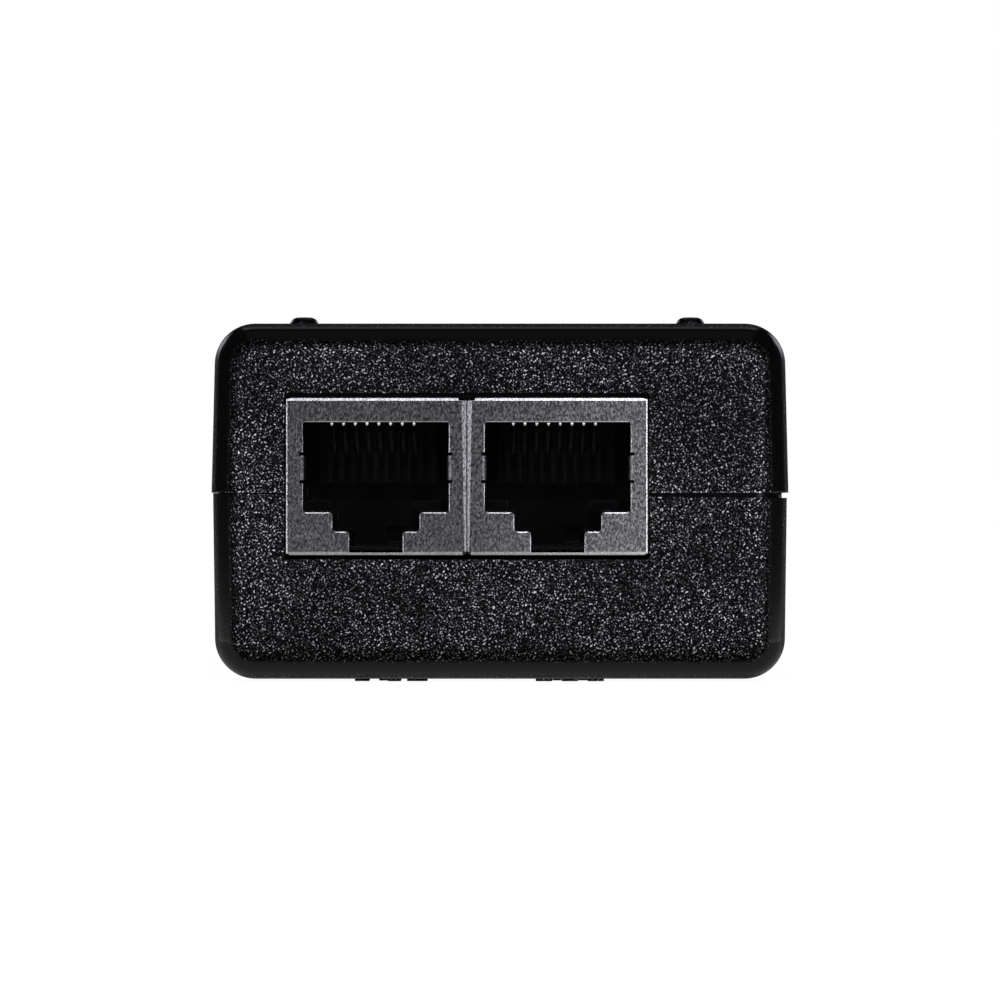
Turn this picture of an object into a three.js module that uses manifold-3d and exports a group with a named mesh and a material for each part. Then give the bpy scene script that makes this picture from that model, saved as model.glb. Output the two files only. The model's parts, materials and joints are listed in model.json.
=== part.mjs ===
// A PoE injector: a two-shell plastic case around a mains power supply board, with two shielded
// 8P8C jacks at one end and an earthed C6 mains inlet at the other.
// Millimetres, +Z up. The parts are laid out the way they are assembled, base shell down, with the
// jacks at -Y and the inlet at +Y, and the finished group is turned over onto its lid. Its origin is
// the centre of the plane that the raised marks on the lid lie on.
import * as THREE from 'three';
import { mergeVertices } from 'three/addons/utils/BufferGeometryUtils.js';
import Module from 'manifold-3d';

const wasm = await Module();
wasm.setup();

// ---------------------------------------------------------------- driving dimensions

// Case
const CASE_LENGTH = 88;
const CASE_HEIGHT = 30.85;
const BASE_WIDTH = 50.1; // both widths are at the parting line, where the case is widest
const LID_WIDTH = 49.85;
const BASE_DRAFT = THREE.MathUtils.degToRad(1.4);
const LID_DRAFT = THREE.MathUtils.degToRad(0.75);
const WALL = 2.2;
const CORNER_RADIUS = 3.55; // long edges, seen from the end
const EDGE_RADIUS = 3.0; // round the two end faces
const BASE_DEPTH = 14.7; // underside to parting line
const FOOT_HEIGHT = 0.75;
const FOOT_RADIUS = 1.25;
const FOOT_CROWN_RADIUS = 0.5; // the flat in the middle of a foot's domed tip
const FOOT_X = 17;
const FOOT_SHIFT = 0.24; // all four feet stand this far off the middle, towards port A
const FOOT_Y = 34.5;
const MARK_HEIGHT = 0.25; // raised port marks on the lid
const MARK_INSET = 6.2; // middle of the marks, from the end faces

// The joint between the shells: a tongue on the base inside a rebate in the lid, and a reveal round
// the lid's rim that is low on port A's side and opens towards the other
const RIM_GAP = 0.03;
const TONGUE_INSET = 1.45;
const TONGUE_HEIGHT = 1.5;
const REBATE_INSET = 1.2;
const REBATE_HEIGHT = 1.8;
const REVEAL_DEPTH = 0.45;
const REVEAL_LOW = 0.05;
const REVEAL_HIGH = 0.43;

// Jacks
const JACK_WIDTH = 15.6;
const JACK_HEIGHT = 13.66;
const JACK_DEPTH = 15.8;
const JACK_PITCH = 15.68;
const JACK_PAIR_X = 2.86;
const JACK_PROUD = 0.35; // shields stand this far out of the case
const JACK_SIDE_GAP = 0.1; // case opening beside the shields
const JACK_LEVEL_GAP = 0.35; // and above and below them
const SHEET = 0.25; // shield metal
const CONTACTS = 8;
const CONTACT_PITCH = 1.016;
const CONTACT_OFFSET = 0.28;
const WIRE_WIDTH = 0.4;
const WIRE_THICKNESS = 0.3;
const BEND_RADIUS = 0.4;
const BEND_DEPTH = 1.35; // the front bend's centre, behind the shield's face
const BEND_HEIGHT = 1.95; // and above the board
const CONTACT_ANGLE = THREE.MathUtils.degToRad(14);
const CONTACT_REACH = 10.3; // depth of the contacts' free ends

// Board
const BOARD_WIDTH = 44;
const BOARD_LENGTH = 82.8;
const BOARD_THICKNESS = 1.6;
const BOARD_TOP = 7.2;
const SEAT = 0.05; // air under a part that stands on another
const POST_X = 20.2;
const POST_Y = 38.6;
const POST_RADIUS = 2;
const PEG_RADIUS = 1.3;

// Mains inlet
const INLET_PROUD = 0.35;
const INLET_HALF_WIDTH = 9.4;
const INLET_BOTTOM = 8.0;
const INLET_TOP = 22.9;
const INLET_GAP = 0.25;
const INLET_RECESS = 10;
const PIN_RADIUS = 1.2;
const PIN_SPREAD = 4.0; // line and neutral, from the middle
const LINE_PIN_Z = 13.15;
const EARTH_PIN_Z = 18.15;
const LOBE_RADIUS = 3.9;

// How far a cutting tool runs past the surface that it opens, and how deep joined pieces overlap
const PAST = 1;
const OVERLAP = 0.5;

// ---------------------------------------------------------------- worked out from those

const BASE_BOTTOM = FOOT_HEIGHT;
const PARTING_Z = BASE_BOTTOM + BASE_DEPTH;
const CASE_TOP = BASE_BOTTOM + CASE_HEIGHT;
const FRONT_Y = -CASE_LENGTH / 2;
const REAR_Y = CASE_LENGTH / 2;
const JACK_FACE_Y = FRONT_Y - JACK_PROUD;
const PORT_A_X = JACK_PAIR_X + JACK_PITCH / 2;
const PORT_B_X = JACK_PAIR_X - JACK_PITCH / 2;
const BOARD_BOTTOM = BOARD_TOP - BOARD_THICKNESS;
const FLOOR_Z = BASE_BOTTOM + WALL;
const CEILING_Z = CASE_TOP - WALL;
const INLET_FACE_Y = REAR_Y + INLET_PROUD;

// ---------------------------------------------------------------- materials

function finish(color, roughness, metalness = 0) {
  return new THREE.MeshStandardMaterial({ color, roughness, metalness });
}

const MATERIALS = {
  casePlastic: finish(0x0b0b0c, 0.5),
  jackPlastic: finish(0x09090b, 0.35),
  shieldMetal: finish(0x9a9a9c, 0.35, 1),
  contactGold: finish(0xd9b46a, 0.25, 1),
  board: finish(0x1f5a34, 0.45),
  ferrite: finish(0x2b2b2e, 0.6),
  bobbin: finish(0x1a1a1c, 0.5),
  tape: finish(0xd6b531, 0.4),
  copper: finish(0xa6542b, 0.3, 1),
  capacitorSleeve: finish(0x15202e, 0.35),
  filmBox: finish(0xc9a227, 0.5),
  blueCoat: finish(0x2456a3, 0.35),
  heatsink: finish(0xb4b6b8, 0.4, 1),
  package: finish(0x141416, 0.55),
  steel: finish(0xb0b2b5, 0.3, 1),
  insulation: finish(0xd8d5c8, 0.6),
  label: finish(0x2a2a2c, 0.5),
  lens: finish(0xe8efe8, 0.15),
  led: finish(0x4fbf5a, 0.25),
  pinMetal: finish(0xc0c2c4, 0.25, 1),
};

// ---------------------------------------------------------------- solids

// A closed geometry as a manifold-3d solid.
function solidOf(geometry) {
  const bare = geometry.clone();
  bare.deleteAttribute('normal');
  bare.deleteAttribute('uv');
  const merged = mergeVertices(bare, 1e-4);
  return new wasm.Manifold(new wasm.Mesh({
    numProp: 3,
    vertProperties: new Float32Array(merged.attributes.position.array),
    triVerts: new Uint32Array(merged.index.array),
  }));
}

function geometryOf(solid) {
  const mesh = solid.getMesh();
  const geometry = new THREE.BufferGeometry();
  geometry.setAttribute('position', new THREE.BufferAttribute(mesh.vertProperties, 3));
  geometry.setIndex(new THREE.BufferAttribute(mesh.triVerts, 1));
  geometry.computeVertexNormals();
  return geometry;
}

function box([x0, x1], [y0, y1], [z0, z1]) {
  const geometry = new THREE.BoxGeometry(x1 - x0, y1 - y0, z1 - z0);
  return solidOf(geometry.translate((x0 + x1) / 2, (y0 + y1) / 2, (z0 + z1) / 2));
}

// An upright cylinder.
function post(x, y, radius, [z0, z1], segments = 16) {
  const geometry = new THREE.CylinderGeometry(radius, radius, z1 - z0, segments);
  return solidOf(geometry.rotateX(Math.PI / 2).translate(x, y, (z0 + z1) / 2));
}

// A cylinder along Y.
function rod(x, z, radius, [y0, y1], segments = 16) {
  const geometry = new THREE.CylinderGeometry(radius, radius, y1 - y0, segments);
  return solidOf(geometry.translate(x, (y0 + y1) / 2, z));
}

// A cylinder along X.
function crossRod([x0, x1], y, z, radius, segments = 12) {
  const geometry = new THREE.CylinderGeometry(radius, radius, x1 - x0, segments);
  return solidOf(geometry.rotateZ(Math.PI / 2).translate((x0 + x1) / 2, y, z));
}

// A shape drawn in X and Z, extruded along Y from y0 to y1.
function slab(shape, [y0, y1], segments = 4) {
  const options = { depth: y1 - y0, bevelEnabled: false, curveSegments: segments };
  const geometry = new THREE.ExtrudeGeometry(shape, options);
  return solidOf(geometry.rotateX(Math.PI / 2).translate(0, y1, 0));
}

// A shape drawn in X and Y, extruded upwards from z0 to z1.
function plate(shape, [z0, z1], segments = 4) {
  const options = { depth: z1 - z0, bevelEnabled: false, curveSegments: segments };
  return solidOf(new THREE.ExtrudeGeometry(shape, options).translate(0, 0, z0));
}

// A profile of [radius, height] points turned about an upright axis at x, y.
function turned(x, y, profile, segments = 16) {
  const points = profile.map(([radius, height]) => new THREE.Vector2(radius, height));
  return solidOf(new THREE.LatheGeometry(points, segments).rotateX(Math.PI / 2).translate(x, y, 0));
}

function polygon(points) {
  return new THREE.Shape(points.map(([x, y]) => new THREE.Vector2(x, y)));
}

function roundedRectangle([x0, x1], [y0, y1], radius) {
  const shape = new THREE.Shape();
  shape.moveTo(x0 + radius, y0);
  shape.lineTo(x1 - radius, y0);
  shape.absarc(x1 - radius, y0 + radius, radius, -Math.PI / 2, 0);
  shape.lineTo(x1, y1 - radius);
  shape.absarc(x1 - radius, y1 - radius, radius, 0, Math.PI / 2);
  shape.lineTo(x0 + radius, y1);
  shape.absarc(x0 + radius, y1 - radius, radius, Math.PI / 2, Math.PI);
  shape.lineTo(x0, y0 + radius);
  shape.absarc(x0 + radius, y0 + radius, radius, Math.PI, 1.5 * Math.PI);
  return shape;
}

// From middle - half to middle + half.
function about(middle, half) {
  return [middle - half, middle + half];
}

// From a to b on one side of a middle: side is +1 or -1.
function beside(middle, side, a, b) {
  return [middle + side * a, middle + side * b].sort((p, q) => p - q);
}

const injector = new THREE.Group();

function addNode(name, solid, material) {
  const mesh = new THREE.Mesh(geometryOf(solid), material);
  mesh.name = name;
  injector.add(mesh);
}

// ---------------------------------------------------------------- case

// The case's section across its length: rounded corners, and sides that lean in above and below the
// parting line by the draft angle.
function caseOutline(halfWidth, draft, inset) {
  const radius = CORNER_RADIUS - inset;
  const low = BASE_BOTTOM + inset + radius;
  const high = CASE_TOP - inset - radius;
  const centreX = (z) => halfWidth - radius - Math.tan(draft) * Math.abs(z - PARTING_Z);
  const shape = new THREE.Shape();
  shape.moveTo(halfWidth, PARTING_Z);
  shape.lineTo(centreX(high) + radius, high);
  shape.absarc(centreX(high), high, radius, 0, Math.PI / 2);
  shape.absarc(-centreX(high), high, radius, Math.PI / 2, Math.PI);
  shape.lineTo(-halfWidth, PARTING_Z);
  shape.absarc(-centreX(low), low, radius, Math.PI, 1.5 * Math.PI);
  shape.absarc(centreX(low), low, radius, 1.5 * Math.PI, 2 * Math.PI);
  return shape;
}

// The outside of the case as one block, or the same block made smaller all round by inset.
function caseBlock(width, draft, inset = 0) {
  const edge = Math.max(EDGE_RADIUS - inset, 0);
  const geometry = new THREE.ExtrudeGeometry(caseOutline(width / 2 - inset, draft, inset), {
    depth: CASE_LENGTH - 2 * inset - 2 * edge,
    bevelEnabled: edge > 0,
    bevelThickness: edge,
    bevelSize: edge,
    bevelOffset: -edge,
    bevelSegments: 5,
    curveSegments: edge > 0 ? 5 : 2,
  });
  return solidOf(geometry.rotateX(Math.PI / 2).translate(0, REAR_Y - inset - edge, 0));
}

// Everything between two heights.
function layer(height) {
  return box(about(0, BASE_WIDTH), about(0, CASE_LENGTH), height);
}

// The opening that the two shields stand in, and the one for the inlet.
function endOpenings() {
  const jacks = box(
    about(JACK_PAIR_X, JACK_PITCH / 2 + JACK_WIDTH / 2 + JACK_SIDE_GAP),
    [FRONT_Y - PAST, FRONT_Y + WALL + PAST],
    [BOARD_TOP - JACK_LEVEL_GAP, BOARD_TOP + JACK_HEIGHT + JACK_LEVEL_GAP],
  );
  const inlet = box(
    about(0, INLET_HALF_WIDTH + INLET_GAP),
    [REAR_Y - WALL - PAST, REAR_Y + PAST],
    [INLET_BOTTOM - INLET_GAP, INLET_TOP + INLET_GAP],
  );
  return jacks.add(inlet);
}

// A short stud with a domed tip, which points down.
function foot(x, y) {
  const steps = 5;
  const dome = Array.from({ length: steps + 1 }, (_, i) => {
    const angle = (i / steps) * Math.PI / 2;
    return [
      FOOT_CROWN_RADIUS + (FOOT_RADIUS - FOOT_CROWN_RADIUS) * Math.sin(angle),
      FOOT_HEIGHT * (1 - Math.cos(angle)),
    ];
  });
  const top = BASE_BOTTOM + OVERLAP;
  return turned(x, y, [[0, 0], ...dome, [FOOT_RADIUS, top], [0, top]]);
}

const LABEL = { halfWidth: 13.5, halfLength: 28, corner: 1.2, thickness: 0.15 };
const LABEL_RECESS = 0.3;
const LABEL_GAP = 0.3;
const INSULATION = { x: [-17, 17], y: [-26, 40], thickness: 0.3 };

function baseShell() {
  const cavity = caseBlock(BASE_WIDTH, BASE_DRAFT, WALL);
  const walls = caseBlock(BASE_WIDTH, BASE_DRAFT).intersect(layer([-PAST, PARTING_Z])).subtract(cavity);
  const tongue = caseBlock(BASE_WIDTH, BASE_DRAFT, TONGUE_INSET)
    .intersect(layer([PARTING_Z - OVERLAP, PARTING_Z + TONGUE_HEIGHT]))
    .subtract(cavity);
  const recess = roundedRectangle(
    about(0, LABEL.halfWidth + LABEL_GAP),
    about(0, LABEL.halfLength + LABEL_GAP),
    LABEL.corner + LABEL_GAP,
  );
  let shell = walls.add(tongue).subtract(endOpenings());
  shell = shell.subtract(plate(recess, [BASE_BOTTOM - PAST, BASE_BOTTOM + LABEL_RECESS], 2));
  for (const side of [-1, 1]) {
    for (const end of [-1, 1]) {
      const height = [FLOOR_Z - OVERLAP, BOARD_BOTTOM - SEAT];
      shell = shell.add(foot(FOOT_SHIFT + side * FOOT_X, end * FOOT_Y));
      // A post under each corner of the board
      shell = shell.add(post(side * POST_X, end * POST_Y, POST_RADIUS, height, 12));
    }
  }
  return shell;
}

// Raised marks over the ports. Port A carries power, so it has a bolt between a block and an arrow.
// Port B is data only and has a small network sign: one box linked to three. The points of each
// shape are measured from the mark's middle.
const MARK_SHIFT = -1.1;
const MARK_RANGE = [CASE_TOP - OVERLAP, CASE_TOP + MARK_HEIGHT];
const BLOCK = { x: [1.75, 3.05], y: [-1.9, -0.6] };
const BOLT = [[-1, -2.2], [0.2, -2.2], [-0.1, -0.6], [1, -0.6], [-0.1, 2.2], [0.1, 0.1], [-1, 0.1]];
const ARROW = [[-3.4, -1.9], [-1.4, -1.9], [-2.4, -0.3]];
const NETWORK = { half: 0.72, reach: 2.25, line: 0.18, near: 0.75, far: 2.2 };
const WAVE = { half: 6, swing: 1.5, line: 0.6, steps: 12 };

function markAt(x, y) {
  const moved = (points) => polygon(points.map(([u, v]) => [x + u, y + v]));
  return {
    box: (across, along) => box(across.map((u) => x + u), along.map((v) => y + v), MARK_RANGE),
    plate: (points) => plate(moved(points), MARK_RANGE),
  };
}

function powerMark() {
  const mark = markAt(PORT_A_X + MARK_SHIFT, FRONT_Y + MARK_INSET);
  return mark.box(BLOCK.x, BLOCK.y).add(mark.plate(BOLT)).add(mark.plate(ARROW));
}

function networkMark() {
  const { half, reach, line, near, far } = NETWORK;
  const mark = markAt(PORT_B_X + MARK_SHIFT, FRONT_Y + MARK_INSET);
  let sign = mark.box(about(0, reach + line), about(0, line));
  sign = sign.add(mark.box(about(0, half), [near, far]));
  sign = sign.add(mark.box(about(0, line), [-near - OVERLAP, near + OVERLAP]));
  for (const side of [-1, 0, 1]) {
    sign = sign.add(mark.box(about(side * reach, half), [-far, -near]));
    sign = sign.add(mark.box(about(side * reach, line), [-near - OVERLAP, 0]));
  }
  return sign;
}

// A mains sign by the inlet: one period of a sine wave, as deep as the port marks so that the lid
// lies level on all three.
function mainsMark() {
  const { half, swing, line, steps } = WAVE;
  const edge = (side) => Array.from({ length: steps + 1 }, (_, i) => {
    const t = (i / steps) * 2 - 1;
    return [half * t, swing * Math.sin(Math.PI * t) + side * line];
  });
  return markAt(0, REAR_Y - MARK_INSET).plate([...edge(-1), ...edge(1).reverse()]);
}

const LIGHT_X = -17.6;
const LIGHT_Y = -33.6;
const LIGHT_PIPE_RADIUS = 1.5;
const LIGHT_PIPE_GAP = 0.2;

// The step round the outside of the lid's rim.
function reveal(rim) {
  const half = BASE_WIDTH / 2;
  const wedge = slab(polygon([
    [-half, rim - PAST], [half, rim - PAST], [half, rim + REVEAL_LOW], [-half, rim + REVEAL_HIGH],
  ]), about(0, CASE_LENGTH));
  return wedge.subtract(caseBlock(LID_WIDTH, LID_DRAFT, REVEAL_DEPTH));
}

function lidShell() {
  const rim = PARTING_Z + RIM_GAP;
  const outside = caseBlock(LID_WIDTH, LID_DRAFT);
  const cavity = caseBlock(LID_WIDTH, LID_DRAFT, WALL);
  const rebate = caseBlock(LID_WIDTH, LID_DRAFT, REBATE_INSET)
    .intersect(layer([rim - PAST, rim + REBATE_HEIGHT]));
  let shell = outside.intersect(layer([rim, CASE_TOP + PAST])).subtract(cavity).subtract(rebate);
  shell = shell.subtract(reveal(rim)).subtract(endOpenings());
  shell = shell.add(powerMark()).add(networkMark()).add(mainsMark());
  for (const side of [-1, 1]) {
    for (const end of [-1, 1]) {
      // A peg over each corner holds the board down on the base's posts
      const height = [BOARD_TOP + SEAT, CEILING_Z + OVERLAP];
      shell = shell.add(post(side * POST_X, end * POST_Y, PEG_RADIUS, height, 10));
    }
  }
  const pipeHole = [CEILING_Z - PAST, CASE_TOP + PAST];
  return shell.subtract(post(LIGHT_X, LIGHT_Y, LIGHT_PIPE_RADIUS + LIGHT_PIPE_GAP, pipeHole));
}

function addCase() {
  addNode('base_shell', baseShell(), MATERIALS.casePlastic);
  addNode('lid_shell', lidShell(), MATERIALS.casePlastic);
  const { halfWidth, halfLength, corner, thickness } = LABEL;
  const outline = roundedRectangle(about(0, halfWidth), about(0, halfLength), corner);
  const labelTop = BASE_BOTTOM + LABEL_RECESS - SEAT / 2;
  addNode('rating_label', plate(outline, [labelTop - thickness, labelTop], 2), MATERIALS.label);
  const sheet = [FLOOR_Z + SEAT, FLOOR_Z + SEAT + INSULATION.thickness];
  addNode('insulation_sheet', box(INSULATION.x, INSULATION.y, sheet), MATERIALS.insulation);
}

// ---------------------------------------------------------------- jacks

// Everything in a jack is placed across its middle, back from its face and up from its board.

// The stepped window, as heights and half widths: plug, step and latch channel
const WINDOW = { bottom: 2.15, shoulder: 9.95, step: 11.61, plug: 6.3, middle: 3.76, latch: 2.31 };
const LIP_DEPTH = 3.2; // the shield is open underneath, behind this lip
const TAB = { tip: 5.95, root: 6.4, front: 0.02, bend: 0.3, back: 2.6, sheet: 0.2 };
const TAB_HEIGHTS = [5.05, 7.15]; // the side springs that earth a shielded plug
const LEG = { depth: 8.6, half: 0.5, bottom: -3 };

const HOUSING = { half: 7.3, front: 0.35, rear: 15.3, bottom: 0.4, top: 13.2 };
const CAVITY = {
  bottom: 1.9, shoulder: 9.8, step: 11.5, top: 12.87, plug: 6.45, middle: 3.76, latch: 2.31, rear: 14.2,
};
const STOPS = [[4.33, 6.5], [-5.55, -2.92]]; // for the plug's nose
const STOP_DEPTHS = [9, 14.6];
const STOP_HEIGHTS = [8.96, 9.9];
const LATCH_POCKET = { across: [-2.2, -0.73], rear: 15, height: [11.25, 12.6] };
const WIRE_SLOT = { half: 0.31, rear: 11, height: [1.2, 2.5] };
const TAB_ROOM = { across: [5.9, 6.9], rear: 3, above: 0.3 };
const LOCATOR = { x: 5.7, depth: 8.6, radius: 1.6, bottom: -2.4, top: 0.9 }; // pegs through the board

const CARRIER = { half: 5.1, front: 10.7, rear: 15.0, bottom: 0.2, top: 7.3 };
const CARRIER_GAP = { side: 0.15, front: 0.2, top: 0.2 };
const RIB = { half: 0.16, bottom: 2.6, reach: 1 };
const STRAND_GAP = 0.3; // between the fixed and the sprung strand, at the bend
const TAIL = { rows: [11.8, 14.2], half: 0.2, bottom: -3.1, top: 0.5 };

function jackFrame(x) {
  const across = (range) => range.map((u) => x + u);
  const back = (range) => range.map((d) => JACK_FACE_Y + d);
  const up = (range) => range.map((w) => BOARD_TOP + w);
  return {
    box: (width, depth, height) => box(across(width), back(depth), up(height)),
    slab: (points, depth) => slab(polygon(points.map(([u, w]) => [x + u, BOARD_TOP + w])), back(depth)),
    post: (u, d, radius, height, segments) => post(x + u, JACK_FACE_Y + d, radius, up(height), segments),
  };
}

function steppedOutline({ bottom, shoulder, step, top, plug, middle, latch }) {
  return [
    [-plug, bottom], [plug, bottom], [plug, shoulder], [middle, shoulder], [middle, step], [latch, step],
    [latch, top], [-latch, top], [-latch, step], [-middle, step], [-middle, shoulder], [-plug, shoulder],
  ];
}

function shield(frame) {
  const half = JACK_WIDTH / 2;
  const inner = half - SHEET;
  const roof = JACK_HEIGHT - SHEET;
  const rear = JACK_DEPTH - SHEET;
  let metal = frame.box([-half, half], [0, JACK_DEPTH], [0, JACK_HEIGHT]);
  metal = metal.subtract(frame.box([-inner, inner], [SHEET, rear], [SHEET, roof]));
  metal = metal.subtract(frame.box([-inner, inner], [LIP_DEPTH, rear], [-PAST, PAST]));
  metal = metal.subtract(frame.slab(steppedOutline({ ...WINDOW, top: roof }), [-PAST, SHEET + SEAT]));
  for (const side of [-1, 1]) {
    const { tip, root, front, bend, back, sheet } = TAB;
    metal = metal.add(frame.box(beside(0, side, tip, root), [front, bend], TAB_HEIGHTS));
    metal = metal.add(frame.box(beside(0, side, tip, tip + sheet), [front, back], TAB_HEIGHTS));
    const leg = beside(0, side, inner, half);
    metal = metal.add(frame.box(leg, about(LEG.depth, LEG.half), [LEG.bottom, PAST]));
  }
  return metal;
}

function contactCentres() {
  const first = CONTACT_OFFSET - CONTACT_PITCH * (CONTACTS - 1) / 2;
  return Array.from({ length: CONTACTS }, (_, i) => first + i * CONTACT_PITCH);
}

// The plastic insert. Its cavity has the window's shape, with two stops for the plug's nose.
function housing(frame) {
  const { half, front, rear, bottom, top } = HOUSING;
  const open = front - PAST;
  let block = frame.box([-half, half], [front, rear], [bottom, top]);
  block = block.subtract(frame.slab(steppedOutline(CAVITY), [open, CAVITY.rear]));
  for (const stop of STOPS) {
    block = block.add(frame.box(stop, STOP_DEPTHS, STOP_HEIGHTS));
  }
  const pocket = LATCH_POCKET;
  block = block.subtract(frame.box(pocket.across, [CAVITY.rear - OVERLAP, pocket.rear], pocket.height));
  // Room for the contact carrier, open at the bottom and the back
  const side = CARRIER.half + CARRIER_GAP.side;
  block = block.subtract(frame.box(
    [-side, side],
    [CARRIER.front - CARRIER_GAP.front, rear + PAST],
    [bottom - PAST, CARRIER.top + CARRIER_GAP.top],
  ));
  for (const u of contactCentres()) {
    block = block.subtract(frame.box(about(u, WIRE_SLOT.half), [open, WIRE_SLOT.rear], WIRE_SLOT.height));
  }
  const tabHeight = [TAB_HEIGHTS[0] - TAB_ROOM.above, TAB_HEIGHTS[1] + TAB_ROOM.above];
  for (const s of [-1, 1]) {
    block = block.subtract(frame.box(beside(0, s, ...TAB_ROOM.across), [open, TAB_ROOM.rear], tabHeight));
    const { x, depth, radius } = LOCATOR;
    block = block.add(frame.post(s * x, depth, radius, [LOCATOR.bottom, LOCATOR.top], 12));
  }
  return block;
}

// The insert that holds the wires: a block with a comb in front, the fixed lower strand of each wire
// running forward from it, and the solder tails in two staggered rows.
function contactCarrier(frame) {
  const { half, front, rear, bottom, top } = CARRIER;
  let insert = frame.box([-half, half], [front, rear], [bottom, top]);
  const root = front + OVERLAP;
  const centres = contactCentres();
  const ribs = [centres[0] - CONTACT_PITCH, ...centres].map((u) => u + CONTACT_PITCH / 2);
  for (const u of ribs) {
    insert = insert.add(frame.box(about(u, RIB.half), [front - RIB.reach, root], [RIB.bottom, top]));
  }
  const strand = about(BEND_HEIGHT - BEND_RADIUS, WIRE_THICKNESS / 2);
  centres.forEach((u, i) => {
    const across = about(u, WIRE_WIDTH / 2);
    insert = insert.add(frame.box(across, [BEND_DEPTH + STRAND_GAP, root], strand));
    insert = insert.add(frame.box(across, about(tailDepth(i), TAIL.half), [TAIL.bottom, TAIL.top]));
  });
  return insert;
}

function tailDepth(index) {
  return TAIL.rows[index % 2];
}

// One contact spring: flat wire round the front bend, then straight back and up to its free end.
function contactSpring(x, u) {
  const end = Math.PI / 2 + CONTACT_ANGLE;
  const start = 1.5 * Math.PI;
  const steps = 6;
  const length = (CONTACT_REACH - BEND_DEPTH) / Math.cos(CONTACT_ANGLE);
  const side = (radius) => {
    const points = Array.from({ length: steps + 1 }, (_, i) => {
      const angle = start + (end - start) * (i / steps);
      return [Math.cos(angle) * radius, Math.sin(angle) * radius];
    });
    const [depth, height] = points[steps];
    points.push([depth + Math.cos(CONTACT_ANGLE) * length, height + Math.sin(CONTACT_ANGLE) * length]);
    return points;
  };
  const outer = side(BEND_RADIUS + WIRE_THICKNESS / 2);
  const inner = side(BEND_RADIUS - WIRE_THICKNESS / 2);
  // Drawn as depth and height, so turned about Z after standing it up
  const options = { depth: WIRE_WIDTH, bevelEnabled: false };
  const geometry = new THREE.ExtrudeGeometry(polygon([...outer, ...inner.reverse()]), options);
  geometry.rotateX(Math.PI / 2).rotateZ(Math.PI / 2);
  geometry.translate(x + u - WIRE_WIDTH / 2, JACK_FACE_Y + BEND_DEPTH, BOARD_TOP + BEND_HEIGHT);
  return solidOf(geometry);
}

function addJack(port, x) {
  const frame = jackFrame(x);
  addNode(`port_${port}_shield`, shield(frame), MATERIALS.shieldMetal);
  addNode(`port_${port}_housing`, housing(frame), MATERIALS.jackPlastic);
  addNode(`port_${port}_contact_carrier`, contactCarrier(frame), MATERIALS.jackPlastic);
  contactCentres().forEach((u, i) => {
    addNode(`port_${port}_contact_${i + 1}`, contactSpring(x, u), MATERIALS.contactGold);
  });
}

// ---------------------------------------------------------------- mains inlet

const INLET_BODY = { half: 10.6, back: 31.5, above: 0.7 };
const INLET_WALL_GAP = 0.2;
const INLET_CORNER = 1;
const LINE_FLOOR = 1.6; // the recess reaches this far below line and neutral, between their lobes
const PIN_BORE_GAP = 0.15;
const PIN_SETBACK = 1.5; // the pins' tips, behind the inlet's face
const PIN_TAIL = { y: 30.7, halfWidth: 0.7, halfDepth: 0.4, below: 1.4, slotGap: 0.25 };
const PINS = [
  { name: 'line', x: -PIN_SPREAD, z: LINE_PIN_Z },
  { name: 'neutral', x: PIN_SPREAD, z: LINE_PIN_Z },
  { name: 'earth', x: 0, z: EARTH_PIN_Z },
];

// Three round lobes joined by a block: the shape of an earthed small-appliance plug.
function inletRecess(depth) {
  let recess = box(about(0, PIN_SPREAD), depth, [LINE_PIN_Z - LINE_FLOOR, EARTH_PIN_Z]);
  for (const pin of PINS) {
    recess = recess.add(rod(pin.x, pin.z, LOBE_RADIUS, depth, 28));
  }
  return recess;
}

function inletHousing() {
  const { half, back, above } = INLET_BODY;
  const behindWall = REAR_Y - WALL - INLET_WALL_GAP;
  let body = box(about(0, half), [back, behindWall], [BOARD_TOP + SEAT, INLET_TOP + above]);
  const nose = roundedRectangle(about(0, INLET_HALF_WIDTH), [INLET_BOTTOM, INLET_TOP], INLET_CORNER);
  body = body.add(slab(nose, [behindWall - OVERLAP, INLET_FACE_Y], 2));
  body = body.subtract(inletRecess([INLET_FACE_Y - INLET_RECESS, INLET_FACE_Y + PAST]));
  for (const pin of PINS) {
    body = body.subtract(rod(pin.x, pin.z, PIN_RADIUS + PIN_BORE_GAP, [back - PAST, INLET_FACE_Y], 12));
  }
  return body;
}

function inletPin({ x, z }) {
  const { y, halfWidth, halfDepth, below } = PIN_TAIL;
  const contact = rod(x, z, PIN_RADIUS, [y - halfDepth, INLET_FACE_Y - PIN_SETBACK], 12);
  return contact.add(box(about(x, halfWidth), about(y, halfDepth), [BOARD_BOTTOM - below, z]));
}

function addInlet() {
  addNode('inlet_housing', inletHousing(), MATERIALS.package);
  for (const pin of PINS) {
    addNode(`inlet_pin_${pin.name}`, inletPin(pin), MATERIALS.pinMetal);
  }
}

// ---------------------------------------------------------------- board

const STAND = BOARD_TOP + SEAT; // the height that the components stand at
const TAIL_HOLE_RADIUS = 0.45;
const LOCATOR_GAP = 0.15;
const LEG_SLOT = { halfWidth: 0.3, halfLength: 0.75 };

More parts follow.
